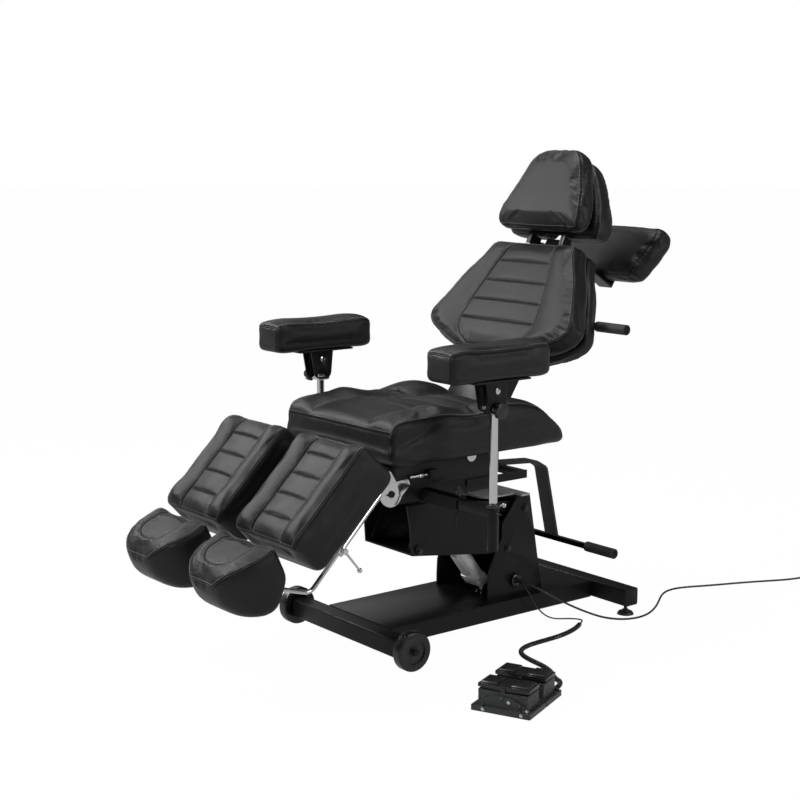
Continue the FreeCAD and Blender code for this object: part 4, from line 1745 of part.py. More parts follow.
def mains_coil():
    first = coil_start() + V(MAINS_DIAMETER * 4, 0, 0)
    begin = first + V(MAINS_DIAMETER, 0, 0)
    centre = begin - V(0, COIL_RADIUS, 0)
    edges = [Part.LineSegment(first, begin).toShape()]
    radius = COIL_RADIUS
    half_step = COIL_STEP / 2
    side = -1
    here = begin
    for i in range(COIL_TURNS * 2):
        radius -= half_step
        there = V(centre.x, centre.y + side * radius, here.z)
        bulge = V(centre.x - side * (here - there).Length / 2, (here.y + there.y) / 2, here.z)
        edges.append(Part.Arc(here, bulge, there).toShape())
        here = there
        side = -side
    there = V(centre.x, centre.y + side * radius, here.z + COIL_RISE)
    edges += two_arcs(here, V(-side, 0, 0), there, V(side, 0, 0))
    here = there
    side = -side
    for i in range(COIL_TURNS * 2 - 1):
        radius += half_step
        there = V(centre.x, centre.y + side * radius, here.z)
        bulge = V(centre.x - side * (here - there).Length / 2, (here.y + there.y) / 2, here.z)
        edges.append(Part.Arc(here, bulge, there).toShape())
        here = there
        side = -side
    end = here + V(-side * COIL_TAIL, 0, 0)
    edges.append(Part.LineSegment(here, end).toShape())
    return wound(edges, first, V(1, 0, 0), MAINS_DIAMETER, "mains coil"), end, V(-side, 0, 0)


def mains_plug(end, way):
    neck = Part.makeCone(MAINS_DIAMETER * 0.6, PLUG_NECK / 2, PLUG_NECK_LENGTH, end, way)
    x0 = end.x + way.x * PLUG_NECK_LENGTH
    x1 = x0 + way.x * PLUG_LENGTH
    body = bar(min(x0, x1), max(x0, x1), end.y - PLUG_WIDTH / 2, end.y + PLUG_WIDTH / 2,
               end.z - PLUG_HEIGHT / 2, end.z + PLUG_HEIGHT / 2)
    body = body.makeFillet(PLUG_CORNER, [e for e in body.Edges if abs(e.Length - PLUG_LENGTH) < FIT])
    pieces = [neck, body]
    for side in (-1, 1):
        pieces.append(rod(V(x1, end.y + side * PLUG_PIN_PITCH / 2, end.z), way, PLUG_PIN, PLUG_PIN_LENGTH))
    return joined(pieces)


def pedal_lead():
    start = grommet_centre() - V(0, 0, LEAD_SPREAD)
    last, beyond = curl_axis()[:2]
    way = beyond - last
    way.normalize()
    points = [start, start - V(0, PEDAL_WIRE * 3, 0)] + [V(*p) for p in PEDAL_LEAD_ROUTE[1:]]
    points += [last - way * CURL_DIAMETER, last]
    return tube(points, PEDAL_WIRE, "pedal lead")


def gland_tip():
    # The gland sits in the far side of the rear unit, low at its end
    local = V(PEDAL_LENGTH * GLAND_X_SHARE, PEDAL_UNIT - PEDAL_SPLIT / 2 + GLAND_LENGTH, CURL_DIAMETER / 2)
    turn = FreeCAD.Rotation(V(0, 0, 1), PEDAL_TURN)
    inward = turn.multVec(V(0, -1, 0))
    return V(PEDAL_X, PEDAL_Y, 0) + turn.multVec(local), inward


def curl_axis():
    tip, inward = gland_tip()
    points = [V(*p) for p in CURL_ROUTE]
    points.append(tip - inward * (CURL_DIAMETER * 4))
    points.append(tip)
    return points


def pedal_curl():
    points = curl_axis()
    radii = [0]
    for before, here, after in zip(points, points[1:], points[2:]):
        first = here - before
        second = after - here
        half = first.getAngle(second) / 2
        radii.append(min(first.Length, second.Length) * 0.45 / math.tan(half))
    radii.append(0)
    axis = rounded_path(points, radii, False)
    print("curl axis length", round(axis.Length, 1), "least radius", round(min(radii[1:-1]), 1))
    orbit = (CURL_DIAMETER - PEDAL_WIRE) / 2
    lead = PEDAL_WIRE
    ease = CURL_DIAMETER
    span = axis.Length - (lead + ease) * 2
    steps = CURLS * 2
    up = V(0, 0, 1)
    spots = []
    ordered = axis.OrderedEdges
    starts = [0]
    for edge in ordered:
        starts.append(starts[-1] + edge.Length)

    def at(distance):
        index = 0
        while index < len(ordered) - 1 and starts[index + 1] < distance:
            index += 1
        edge = ordered[index]
        share = (distance - starts[index]) / edge.Length
        backward = edge.Orientation == "Reversed"
        low, high = edge.FirstParameter, edge.LastParameter
        value = high - (high - low) * share if backward else low + (high - low) * share
        way = edge.tangentAt(value)
        way.normalize()
        if backward:
            way = way * -1
        return edge.valueAt(value), way

    for k in range(steps + 1):
        distance = lead + ease + span * k / steps
        middle, way = at(distance)
        side = up.cross(way)
        side.normalize()
        turn = math.pi * k
        rate = math.pi * steps / span
        offset = side * (orbit * math.cos(turn))
        travel = way + up * (orbit * rate * math.cos(turn))
        travel.normalize()
        spots.append((middle + offset, travel))
    first, way_in = at(0)
    last, way_out = at(axis.Length)
    begin = first + way_in * lead
    finish = last - way_out * lead
    edges = [Part.LineSegment(first, begin).toShape()]
    edges += two_arcs(begin, way_in, spots[0][0], spots[0][1])
    for (a, a_way), (b, b_way) in zip(spots, spots[1:]):
        edges += two_arcs(a, a_way, b, b_way)
    edges += two_arcs(spots[-1][0], spots[-1][1], finish, way_out)
    edges.append(Part.LineSegment(finish, last).toShape())
    return wound(edges, first, way_in, PEDAL_WIRE, "pedal curl")


def both(build):
    far = build()
    return mirrored(far), far


def both_near(build):
    near = build()
    return near, mirrored(near)


PIECES = {
    "base_frame": base_frame(),
    "pedestal": pedestal(),
    "pedestal_cover": pedestal_cover(),
    "cable_grommet": cable_grommet(),
    "lift_arm": lift_arm(),
    "upper_link": upper_link(),
    "carrier": carrier(),
    "lift_motor": lift_motor(),
    "lift_rod": lift_rod(),
    "swivel_frame": swivel_frame_with_hook(),
    "seat_pan": seat_pan(),
    "seat_cushion": seat_cushion(),
    "hinge_pins": hinge_pins(),
    "back_motor": back_motor(),
    "back_rod": back_rod(),
    "back_column": back_column(),
    "back_cushion_front": back_cushion_front(),
    "back_cushion_rear": rear_cushion(),
    "handle_bar": handle_bar(),
    "headrest_rods": headrest_rods(),
    "headrest_plate": headrest_plate(),
    "headrest_pad_front": headrest_pad_front(),
    "headrest_pad_rear": headrest_pad_rear(),
    "rear_rest_arm": rear_rest_arm(),
    "rear_rest_pad": rear_rest_pad(),
    "foot_bar": foot_bar(),
    "pedal_base": pedal_base(),
    "pedal_rocker_front": pedal_rocker(pedal_units()[0][1]),
    "pedal_rocker_rear": pedal_rocker(pedal_units()[1][1]),
}
for name, build in (("arm_beam", arm_beam), ("arm_post", arm_post), ("arm_bracket", arm_bracket),
                    ("arm_pad", arm_pad), ("tilt_knob", tilt_knob), ("beam_knob", beam_knob)):
    PIECES[name + "_left"], PIECES[name + "_right"] = both(build)
for name, build in (("leg_frame", leg_frame), ("leg_pad", leg_pad), ("leg_rod", leg_rod),
                    ("foot_pad", foot_pad), ("leg_lever", leg_lever)):
    PIECES[name + "_left"], PIECES[name + "_right"] = both_near(build)
coil, coil_end, coil_way = mains_coil()
PIECES["mains_cord"] = mains_cord()
PIECES["mains_coil"] = coil
PIECES["mains_plug"] = mains_plug(coil_end, coil_way)
PIECES["pedal_lead"] = pedal_lead()
PIECES["pedal_curl"] = pedal_curl()
for side, word in ((-1, "left"), (1, "right")):
    PIECES["wheel_" + word] = wheel(side)
    PIECES["level_foot_" + word] = level_foot(side)

# Padding takes the print of whatever carries it, so the two meet face to face
BEARINGS = (
    ("seat_cushion", ("seat_pan",)), ("back_cushion_front", ("back_column",)),
    ("back_cushion_rear", ("back_column", "handle_bar")), ("headrest_pad_front", ("headrest_plate",)),
    ("headrest_pad_rear", ("headrest_plate",)), ("rear_rest_pad", ("rear_rest_arm",)),
    ("leg_pad_left", ("leg_frame_left",)), ("leg_pad_right", ("leg_frame_right",)),
    ("foot_pad_left", ("leg_rod_left",)), ("foot_pad_right", ("leg_rod_right",)),
    ("arm_pad_left", ("arm_bracket_left",)), ("arm_pad_right", ("arm_bracket_right",)),
)
for pad, holders in BEARINGS:
    for holder in holders:
        PIECES[pad] = PIECES[pad].cut(PIECES[holder])

os.makedirs("parts", exist_ok=True)
for name, shape in PIECES.items():
    shape.exportStep("parts/" + name + ".step")
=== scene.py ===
# %% [markdown]
# # A reclining client chair, dressed
# The chair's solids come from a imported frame, in metres, and every piece made here rides on one of
# the frame's bodies. The frame gives the places, so nothing is fitted by eye: a cushion, a seam or
# a screw is worked out from the solid that it belongs to.

# %% Load the frame
import math
import bmesh
import bpy
from mathutils import Matrix, Vector
from mathutils.bvhtree import BVHTree
from mathutils.kdtree import KDTree


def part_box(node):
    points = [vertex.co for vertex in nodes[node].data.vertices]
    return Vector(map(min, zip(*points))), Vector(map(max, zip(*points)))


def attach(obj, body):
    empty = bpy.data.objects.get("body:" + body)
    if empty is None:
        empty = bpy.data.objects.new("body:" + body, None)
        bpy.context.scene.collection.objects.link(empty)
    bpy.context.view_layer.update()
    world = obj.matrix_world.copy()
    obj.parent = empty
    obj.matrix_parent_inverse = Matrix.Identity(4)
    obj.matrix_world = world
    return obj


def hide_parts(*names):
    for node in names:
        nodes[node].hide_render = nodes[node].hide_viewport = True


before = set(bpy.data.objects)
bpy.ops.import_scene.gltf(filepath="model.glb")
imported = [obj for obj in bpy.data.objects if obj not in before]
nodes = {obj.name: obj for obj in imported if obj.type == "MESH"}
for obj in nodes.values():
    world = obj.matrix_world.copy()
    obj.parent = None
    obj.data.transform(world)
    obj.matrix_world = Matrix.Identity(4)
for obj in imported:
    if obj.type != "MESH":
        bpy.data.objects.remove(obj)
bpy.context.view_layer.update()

# %% [markdown]
# ## The camera
# The photograph was taken from beyond the foot end, a little to one side and above the seat, with a
# long lens. A lens length on a 36 mm sensor and a place are all that a straight view needs. Its aim
# is kept as a direction, which a track quaternion turns into a rotation.

# %% Camera
PLACE = Vector((-3.304, -3.863, 1.584))
AIM = Vector((0.6090, 0.7766, -0.1613))
camera = bpy.data.objects.new("camera", bpy.data.cameras.new("camera"))
camera.location = PLACE
camera.rotation_euler = AIM.to_track_quat("-Z", "Y").to_euler()
camera.data.sensor_width = 36
camera.data.lens = 69.47
camera.data.clip_end = 200
bpy.context.collection.objects.link(camera)
bpy.context.scene.camera = camera
bpy.context.scene.view_settings.view_transform = "Standard"
print("camera", [round(c, 3) for c in camera.location])

# %% [markdown]
# ## Shader sums as plain expressions
# A Math node for each sum makes a material hard to read. A small class wraps a socket instead and
# takes part in Python's arithmetic, so that `1 - mask * 0.3` adds its nodes by itself. Any other
# node comes from one method, which sets its settings first and then its sockets.


# %% The socket class
class Wire:
    def __init__(self, tree, socket=None):
        self.tree = tree
        self.socket = socket

    def node(self, kind, settings=None, inputs=None, out=0):
        made = self.tree.nodes.new(kind)
        for name, value in (settings or {}).items():
            if name == "stops":
                first, last = made.color_ramp.elements
                for stop, (place, colour) in zip((first, last), value):
                    stop.position = place
                    stop.color = colour
            else:
                setattr(made, name, value)
        for name, value in (inputs or {}).items():
            slot = made.inputs[name]
            if isinstance(value, Wire):
                self.tree.links.new(value.socket, slot)
            else:
                slot.default_value = value
        return Wire(self.tree, made.outputs[out] if len(made.outputs) else None)

    def sum(self, operation, first, second):
        return self.node("ShaderNodeMath", {"operation": operation}, {0: first, 1: second})

    def __add__(self, other):
        return self.sum("ADD", self, other)

    def __radd__(self, other):
        return self.sum("ADD", other, self)

    def __sub__(self, other):
        return self.sum("SUBTRACT", self, other)

    def __rsub__(self, other):
        return self.sum("SUBTRACT", other, self)

    def __mul__(self, other):
        return self.sum("MULTIPLY", self, other)

    def __rmul__(self, other):
        return self.sum("MULTIPLY", other, self)


print("sums on sockets add their own Math nodes")

# %% [markdown]
# ## Light and floor
# A studio shot on white paper: broad soft lamps, a grey surround that fills the shadows, and a
# floor that the camera, mirrors and clear things see as white. The Light Path node tells such rays
# from the ones that light the object, so the white costs the object nothing. Shiny things also see
# upright white screens with grey between them, which draws the long bright lines down a chromed tube.

# %% World
world = bpy.data.worlds.new("studio")
bpy.context.scene.world = world
world.use_nodes = True
world.node_tree.nodes.clear()
sky = Wire(world.node_tree)
GREY_SURROUND = 0.34


def white_rays(wire):
    path = wire.tree.nodes.new("ShaderNodeLightPath")
    return [Wire(wire.tree, path.outputs["Is " + word + " Ray"]) for word in ("Camera", "Glossy", "Transmission")]


seen, mirrored_ray, through = white_rays(sky)
direction = sky.node("ShaderNodeTexCoord", out=0)
screens = sky.node("ShaderNodeTexWave", {"bands_direction": "X"}, {"Vector": direction, "Scale": 0.42}, out=1)
bright = screens * screens * screens * 0.85 + 0.07
surround = GREY_SURROUND + mirrored_ray * (bright - GREY_SURROUND)
sky_level = sky.node("ShaderNodeMix", {"data_type": "FLOAT"},
                     {0: sky.sum("MAXIMUM", seen, through), 2: surround, 3: 1.0})
background = sky.node("ShaderNodeBackground", {}, {"Color": (1, 1, 1, 1), "Strength": sky_level})
sky.node("ShaderNodeOutputWorld", {}, {"Surface": background})
print("the surround's level is", GREY_SURROUND)

# %% Lamps
LAMPS = (
    ("key", (-3.2, 1.2, 3.3), (-0.2, 0, 0.7), 1.1, 150),
    ("side", (-1.4, 3.2, 2.9), (0.1, 0, 0.9), 1.2, 50),
    ("top", (0.2, 0.3, 4.2), (0, 0, 0.6), 1.5, 70),
    ("rim", (1.4, -3.6, 2.0), (0.1, 0, 0.8), 1.6, 36),
)
for name, place, target, size, watts in LAMPS:
    light = bpy.data.lights.new(name, "AREA")
    light.shape = "DISK"
    light.size = size
    light.energy = watts
    holder = bpy.data.objects.new(name, light)
    holder.location = place
    holder.rotation_euler = (Vector(target) - Vector(place)).to_track_quat("-Z", "Y").to_euler()
    bpy.context.collection.objects.link(holder)
print(len(LAMPS), "lamps")

# %% Floor
FLOOR_RADIUS = 60
floor_mesh = bpy.data.meshes.new("floor")
shape = bmesh.new()
bmesh.ops.create_circle(shape, cap_ends=True, segments=96, radius=FLOOR_RADIUS)
shape.to_mesh(floor_mesh)
shape.free()
floor = bpy.data.objects.new("floor", floor_mesh)
bpy.context.collection.objects.link(floor)
floor_paint = bpy.data.materials.new("floor_paper")
floor_paint.use_nodes = True
floor_paint.node_tree.nodes.clear()
paper = Wire(floor_paint.node_tree)
seen, mirrored_ray, through = white_rays(paper)
lit = paper.node("ShaderNodeBsdfDiffuse", {}, {"Color": (0.9, 0.9, 0.9, 1)})
glow = paper.node("ShaderNodeEmission", {}, {"Color": (1, 1, 1, 1), "Strength": 1 - mirrored_ray * 0.5})
share = paper.sum("MAXIMUM", seen, through) * 0.985 + mirrored_ray * 0.9
both = paper.node("ShaderNodeMixShader", {}, {0: share, 1: lit, 2: glow})
paper.node("ShaderNodeOutputMaterial", {}, {"Surface": both})
floor_mesh.materials.append(floor_paint)
print("floor of", FLOOR_RADIUS, "m radius")

# %% [markdown]
# ## Finishes
# Every finish starts the same way: a colour that drifts a little, a roughness that drifts with it
# and a fine relief. One function builds that from a noise on Object coordinates, which are the real
# metres of the chair, so grain has its true size on every piece. The grain's scale counts how many
# grains lie in a metre.


# %% One function for a worked surface
# Painted shade: near-black mixed into a cover's colour along its seams, where the grooves' shadow falls
PAINTED_SHADE_IN_SEAMS = (0.004, 0.004, 0.004, 1)
PAINTED_SHADE_STRENGTH = 0.75


def surface(name, colour, roughness, metallic=0.0, grain=500.0, relief=0.15, depth=0.0004,
            drift=0.15, cells=False, stretch=(1, 1, 1), specular=0.5, paint_seam_shade=False):
    material = bpy.data.materials.new(name)
    material.use_nodes = True
    material.node_tree.nodes.clear()
    w = Wire(material.node_tree)
    place = w.node("ShaderNodeTexCoord", out=3)
    place = w.node("ShaderNodeMapping", {}, {"Vector": place, "Scale": stretch})
    fine = w.node("ShaderNodeTexNoise", {}, {"Vector": place, "Scale": grain, "Detail": 3.0})
    broad = w.node("ShaderNodeTexNoise", {}, {"Vector": place, "Scale": 9.0, "Detail": 4.0})
    height = fine
    if cells:
        pores = w.node("ShaderNodeTexVoronoi", {"feature": "DISTANCE_TO_EDGE"},
                       {"Vector": place, "Scale": grain * 0.8})
        soft = w.node("ShaderNodeTexNoise", {}, {"Vector": place, "Scale": 38.0, "Detail": 5.0})
        height = w.sum("MINIMUM", pores * 3, 0.6) + fine * 0.35 + soft * 1.6
    dark = tuple(c * (1 - drift) for c in colour) + (1,)
    light = tuple(min(1, c * (1 + drift)) for c in colour) + (1,)
    shade = w.node("ShaderNodeValToRGB", {"stops": ((0.3, dark), (0.7, light))}, {"Fac": broad})
    rough = roughness + (broad - 0.5) * drift * 0.6 + (fine - 0.5) * drift * 0.3
    # Painted shade: the seam attribute pulls the colour towards near-black in the grooves; the roughness also rises
    # there
    if paint_seam_shade:
        near = w.node("ShaderNodeAttribute", {"attribute_name": "seam"}, out=2)
        shade = w.node("ShaderNodeMix", {"data_type": "RGBA"}, {0: near * PAINTED_SHADE_STRENGTH, 6: shade, 7: PAINTED_SHADE_IN_SEAMS}, out=2)
        rough = rough + near * 0.25
    bump = w.node("ShaderNodeBump", {}, {"Strength": relief, "Distance": depth, "Height": height})
    body = w.node("ShaderNodeBsdfPrincipled", {}, {
        "Base Color": shade, "Roughness": rough, "Metallic": metallic, "Normal": bump,
        "Specular IOR Level": specular})
    w.node("ShaderNodeOutputMaterial", {}, {"Surface": body})
    return material


# %% The chair's finishes
leather = surface("black_leather", (0.0080, 0.0080, 0.0088), 0.34, grain=620, relief=0.38, depth=0.0008,
                  drift=0.22, cells=True, specular=0.26, paint_seam_shade=True)
thread = surface("grey_thread", (0.16, 0.16, 0.165), 0.6, grain=2500, relief=0.4, drift=0.1)
# Painted shadow: a near-black, barely reflecting finish for thin tubes laid in the seam grooves
valley_shadow_paint = surface("painted_valley_shadow", (0.0025, 0.0025, 0.0025), 0.8, grain=2500, relief=0.3, drift=0.1, specular=0.1)
bright_steel = surface("bright_steel", (0.62, 0.62, 0.63), 0.22, metallic=1.0, grain=900, relief=0.05, drift=0.05)
black_steel = surface("blackened_steel", (0.045, 0.045, 0.048), 0.30, metallic=0.7, grain=900, relief=0.1, drift=0.1)
powder_coat = surface("black_powder_coat", (0.0070, 0.0072, 0.0078), 0.34, grain=900, relief=0.25, depth=0.0003,
                      drift=0.12, specular=0.2)
cover_paint = surface("light_grey_paint", (0.36, 0.36, 0.37), 0.32, grain=700, relief=0.1, drift=0.04)
chrome = surface("polished_chrome", (0.66, 0.66, 0.67), 0.11, metallic=1.0, grain=300, relief=0.03,
                 drift=0.05, stretch=(1, 1, 0.08))
turned_steel = surface("turned_steel", (0.56, 0.56, 0.57), 0.27, metallic=1.0, grain=800, relief=0.08,
                       drift=0.08, stretch=(1, 1, 0.1))
motor_enamel = surface("pale_grey_enamel", (0.74, 0.74, 0.75), 0.30, metallic=0.1, grain=700, relief=0.12, drift=0.06)
moulding = surface("matt_black_moulding", (0.016, 0.016, 0.017), 0.48, grain=1100, relief=0.3, drift=0.12)
grip = surface("grip_rubber", (0.016, 0.016, 0.017), 0.66, grain=1500, relief=0.5, depth=0.0005, drift=0.15)
glossy = surface("glossy_black_moulding", (0.014, 0.014, 0.015), 0.26, grain=500, relief=0.1, drift=0.1)
wheel_moulding = surface("wheel_moulding", (0.009, 0.009, 0.010), 0.26, grain=900, relief=0.25, drift=0.15)
rubber = surface("dull_rubber", (0.014, 0.014, 0.015), 0.50, grain=1000, relief=0.3, drift=0.15)
hammered = surface("hammered_enamel", (0.020, 0.021, 0.022), 0.28, grain=260, relief=0.7, depth=0.001, drift=0.2,
                   cells=True)
tread = surface("ribbed_tread", (0.012, 0.012, 0.013), 0.24, grain=1000, relief=0.3, drift=0.12)
sheath = surface("rubber_sheath", (0.010, 0.010, 0.011), 0.36, grain=700, relief=0.12, drift=0.1)
print(len(bpy.data.materials), "materials")

# %% [markdown]
# ## Finishing the carried-over solids
# A solid's mesh may not change, but a modifier may be laid over it. Loose triangles are welded, the
# sharp edges get a bevel of under a millimetre, because a real edge always catches some light, and
# a small Geometry Nodes tree shades curved faces smooth while it keeps the bends sharp.


# %% A tree that shades by the angle between faces
SHARP_BEND = 0.62


def smooth_tree(name):
    tree = bpy.data.node_groups.new(name, "GeometryNodeTree")
    tree.interface.new_socket("Geometry", in_out="INPUT", socket_type="NodeSocketGeometry")
    tree.interface.new_socket("Geometry", in_out="OUTPUT", socket_type="NodeSocketGeometry")
    w = Wire(tree)
    start = w.node("NodeGroupInput")
    rounded = w.node("GeometryNodeSetShadeSmooth", {"domain": "FACE"}, {"Geometry": start, "Shade Smooth": True})
    bend = w.node("GeometryNodeInputMeshEdgeAngle")
    sharp = w.node("FunctionNodeCompare", {"data_type": "FLOAT", "operation": "GREATER_THAN"},
                   {0: bend, 1: SHARP_BEND})
    kept = w.node("GeometryNodeSetShadeSmooth", {"domain": "EDGE"},
                  {"Geometry": rounded, "Selection": sharp, "Shade Smooth": False})
    w.node("NodeGroupOutput", {}, {0: kept})
    return tree


shade_by_angle = smooth_tree("shade by angle")
print("bends over", round(math.degrees(SHARP_BEND)), "degrees stay sharp")

# %% Which solid has which finish
FINISHES = {
    powder_coat: "base_frame pedestal lift_arm upper_link carrier swivel_frame seat_pan back_column headrest_plate"
                 " rear_rest_arm arm_beam_left arm_beam_right arm_bracket_left arm_bracket_right",
    cover_paint: "pedestal_cover",
    chrome: "arm_post_left arm_post_right leg_frame_left leg_frame_right leg_rod_left leg_rod_right headrest_rods"
            " leg_lever_left leg_lever_right",
    turned_steel: "hinge_pins lift_rod back_rod",
    motor_enamel: "lift_motor",
    moulding: "back_motor",
    grip: "handle_bar foot_bar",
    glossy: "tilt_knob_left tilt_knob_right beam_knob_left beam_knob_right",
    wheel_moulding: "wheel_left wheel_right",
    rubber: "level_foot_left level_foot_right cable_grommet",
    hammered: "pedal_base",
    tread: "pedal_rocker_front pedal_rocker_rear",
    sheath: "mains_cord mains_coil mains_plug pedal_lead pedal_curl",
}
NO_BEVEL = "handle_bar foot_bar mains_coil pedal_curl mains_cord pedal_lead headrest_rods".split()
EDGE = 0.0007
SAME_POINT = 0.00002


def finish(node, material):
    solid = nodes[node]
    if not solid.material_slots:
        solid.data.materials.append(material)
    for each in solid.material_slots:
        each.material = material
    weld = solid.modifiers.new("weld", "WELD")
    weld.merge_threshold = SAME_POINT
    if node not in NO_BEVEL:
        rounding = solid.modifiers.new("edge", "BEVEL")
        rounding.width = EDGE
        rounding.segments = 2
        rounding.limit_method = "ANGLE"
        rounding.angle_limit = math.radians(40)
    shading = solid.modifiers.new("shading", "NODES")
    shading.node_group = shade_by_angle


for material, words in FINISHES.items():
    for word in words.split():
        finish(word, material)
print("finished", sum(len(words.split()) for words in FINISHES.values()), "solids")

# %% [markdown]
# ## The mains lead
# A round rubber lead leaves its grommet at right angles, falls to the floor and wanders off in loose
# bends; the spare length lies as one neat two-layer coil. Its line is one NURBS spline with the
# route's points as control points, so every bend is soft. The coil's turns are points of the same
# spline, sixteen to a turn, and a hundredth or two wider than the turn, because the line runs inside
# its control points.

# %% Route of the mains lead
MAINS_ROUTE = (
    (113.6, -168.9, 148.7), (124.4, -197.6, 141), (144.2, -218.4, 127.1), (168, -232.6, 111.1),
    (193.2, -243.4, 94.7), (218.9, -253.6, 78.6), (245, -264, 63.2), (271.5, -274.8, 48.9),
    (298, -286.6, 35.5), (346.9, -313.3, 13.4), (396, -346.1, 3.9), (449.6, -372.3, 3.6),
    (508.9, -368.3, 3.6), (564.6, -346.2, 3.6), (616.5, -316.2, 3.6), (665.8, -282.1, 3.6),
    (714.5, -247, 3.6), (766.4, -217.2, 3.6), (825.2, -208.4, 3.6), (882.4, -225.4, 3.6),
    (936.4, -251.5, 3.6), (991.7, -274.7, 3.6), (1047.5, -296.9, 3.6), (1102.8, -320.2, 3.6),
    (1157, -345.8, 3.6), (1210.8, -372.4, 3.6), (1266.3, -395.1, 3.6), (1330, -408, 3.6),
)
MAINS_EXIT = (112.4, -145, 149.6)
COIL_RADIUS = 49.0
COIL_STEP = 8.2
COIL_RISE = 8.8
TURN_POINTS = 16
print("the mains lead's route has", len(MAINS_ROUTE), "points before its coil")


# %% The coil
def coil_points():
    begin = Vector(MAINS_ROUTE[-1]) + Vector((35, 0, 0))
    centre = begin - Vector((0, COIL_RADIUS, 0))
    wider = 1 / math.cos(math.pi / TURN_POINTS)
    points = [begin - Vector((7, 0, 0))]
    radius, height = COIL_RADIUS, begin.z
    for k in range(1, TURN_POINTS * 6):
        inward, climbing = k <= TURN_POINTS * 3, TURN_POINTS * 3 < k <= TURN_POINTS * 3.5
        if climbing:
            height += COIL_RISE / (TURN_POINTS / 2)
        else:
            radius += (-COIL_STEP if inward else COIL_STEP) / TURN_POINTS
        angle = math.pi / 2 - math.tau * k / TURN_POINTS
        spot = Vector((math.cos(angle), math.sin(angle), 0)) * radius * wider
        points.append(Vector((centre.x + spot.x, centre.y + spot.y, height)))
    top = centre + Vector((0, radius + COIL_STEP / TURN_POINTS, 0))
    end = Vector((centre.x + 38, top.y, height))
    points += [Vector((centre.x + 10, top.y, height)), Vector((centre.x + 22, top.y, height)), end]
    return points


print("the coil has", len(coil_points()), "points")


# %% A spline and its length
def nurbs(name, points, diameter, resolution=4, bevel=4):
    curve = bpy.data.curves.new(name, "CURVE")
    curve.dimensions = "3D"
    curve.resolution_u = resolution
    curve.bevel_depth = diameter / 2000
    curve.bevel_resolution = bevel
    curve.use_fill_caps = True
    line = curve.splines.new("NURBS")
    line.points.add(len(points) - 1)
    for spot, point in zip(line.points, points):
        spot.co = (point[0] / 1000, point[1] / 1000, point[2] / 1000, 1)
    line.order_u = 3
    line.use_endpoint_u = True
    made = bpy.data.objects.new(name, curve)
    bpy.context.collection.objects.link(made)
    return made


def length_of(made):
    plain = made.copy()
    plain.data = made.data.copy()
    plain.data.bevel_depth = 0
    bpy.context.collection.objects.link(plain)
    mesh = bpy.data.meshes.new_from_object(plain.evaluated_get(bpy.context.evaluated_depsgraph_get()))
    spots = [v.co.copy() for v in mesh.vertices]
    bpy.data.objects.remove(plain)
    return sum((a - b).length for a, b in zip(spots, spots[1:])), spots


mains_points = [Vector(MAINS_EXIT), Vector((112.4, -166, 149.6))]
mains_points += [Vector(p) for p in MAINS_ROUTE[1:]] + coil_points()
mains = nurbs("mains_lead", mains_points, 7.0)
mains_length, mains_line = length_of(mains)
mains.data.materials.append(sheath)
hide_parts("mains_cord", "mains_coil")
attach(mains, "base")
print("mains lead", round(mains_length, 3), "m")

# %% [markdown]
# ## The foot switch's lead
# A thinner lead leaves the same grommet, reaches the floor and turns into a curly cord, which is one
# wire wound round a line that lies on the floor. The line is a spline of its own. Its points, read
# from the spline, carry the wire's turns, which are again points of the wire's own spline.

# %% Route of the curly lead
PEDAL_EXIT = (112.4, -145, 141.6)
PEDAL_LEAD_ROUTE = (
    (112.8, -158.9, 140.2), (116, -177.2, 130.9), (121.9, -189.8, 115.3), (128.9, -197.9, 97.3),
    (137.7, -202.4, 78.8), (149, -204.6, 61.3), (162.5, -205.8, 45.3), (178.1, -206.8, 31.3),
    (195.3, -208, 19.4), (214.2, -210, 10.4), (234.1, -213.8, 5.2), (253.9, -220.4, 3), (272.1, -230.8, 2.7),
    (286.3, -246.2, 3.1), (292.1, -265.9, 4.7), (285.1, -285.1, 7.4),
)
CURL_ROUTE = (
    (262, -302, 8.1), (226, -325, 8.1), (172, -348, 8.1), (101, -364, 8.1), (20, -366, 8.1), (-48, -370, 8.1),
    (-98, -392, 8.1), (-126, -436, 8.1), (-136, -494, 8.1), (-142, -550, 8.1), (-160, -602, 8.1),
    (-192, -648, 8.1),
)
PEDAL_PLACE = Vector((-404.0, -712.5, 0))
PEDAL_TURN = math.radians(-66.3)
GLAND = Vector((184.0 * 0.35, 118.0 - 1.0 + 12.0, 8.0))
CURLS = 88
ORBIT = 5.5
CURL_POINTS = 12

# %% The line that the curls go round
about = Matrix.Rotation(PEDAL_TURN, 3, "Z")
gland_tip = PEDAL_PLACE + about @ GLAND
gland_way = about @ Vector((0, -1, 0))
axis_points = [Vector(p) for p in CURL_ROUTE] + [gland_tip - gland_way * 64, gland_tip]
axis = nurbs("curl_axis", axis_points, 0.0, resolution=24)
axis_length, axis_line = length_of(axis)
bpy.data.objects.remove(axis)
print("the curls' line is", round(axis_length, 3), "m long")


# %% The curls
def along(line, distance):
    for a, b in zip(line, line[1:]):
        step = (b - a).length
        if distance <= step and step:
            return a.lerp(b, distance / step), (b - a) / step
        distance -= step
    a, b = line[-2], line[-1]
    return b.copy(), (b - a).normalized()


def curl_points():
    lead, ease = 0.005, 0.016
    span = axis_length - 2 * (lead + ease)
    points = []
    count = CURLS * CURL_POINTS
    wider = ORBIT / 1000 / math.cos(math.pi / CURL_POINTS)
    for k in range(count + 1):
        middle, way = along(axis_line, lead + ease + span * k / count)
        side = Vector((0, 0, 1)).cross(way).normalized()
        turn = math.tau * k / CURL_POINTS
        spot = middle + side * wider * math.cos(turn) + Vector((0, 0, 1)) * wider * math.sin(turn)
        points.append(spot * 1000)
    first, last = along(axis_line, lead)[0] * 1000, along(axis_line, axis_length - lead)[0] * 1000
    return [first] + points + [last, axis_line[-1] * 1000]


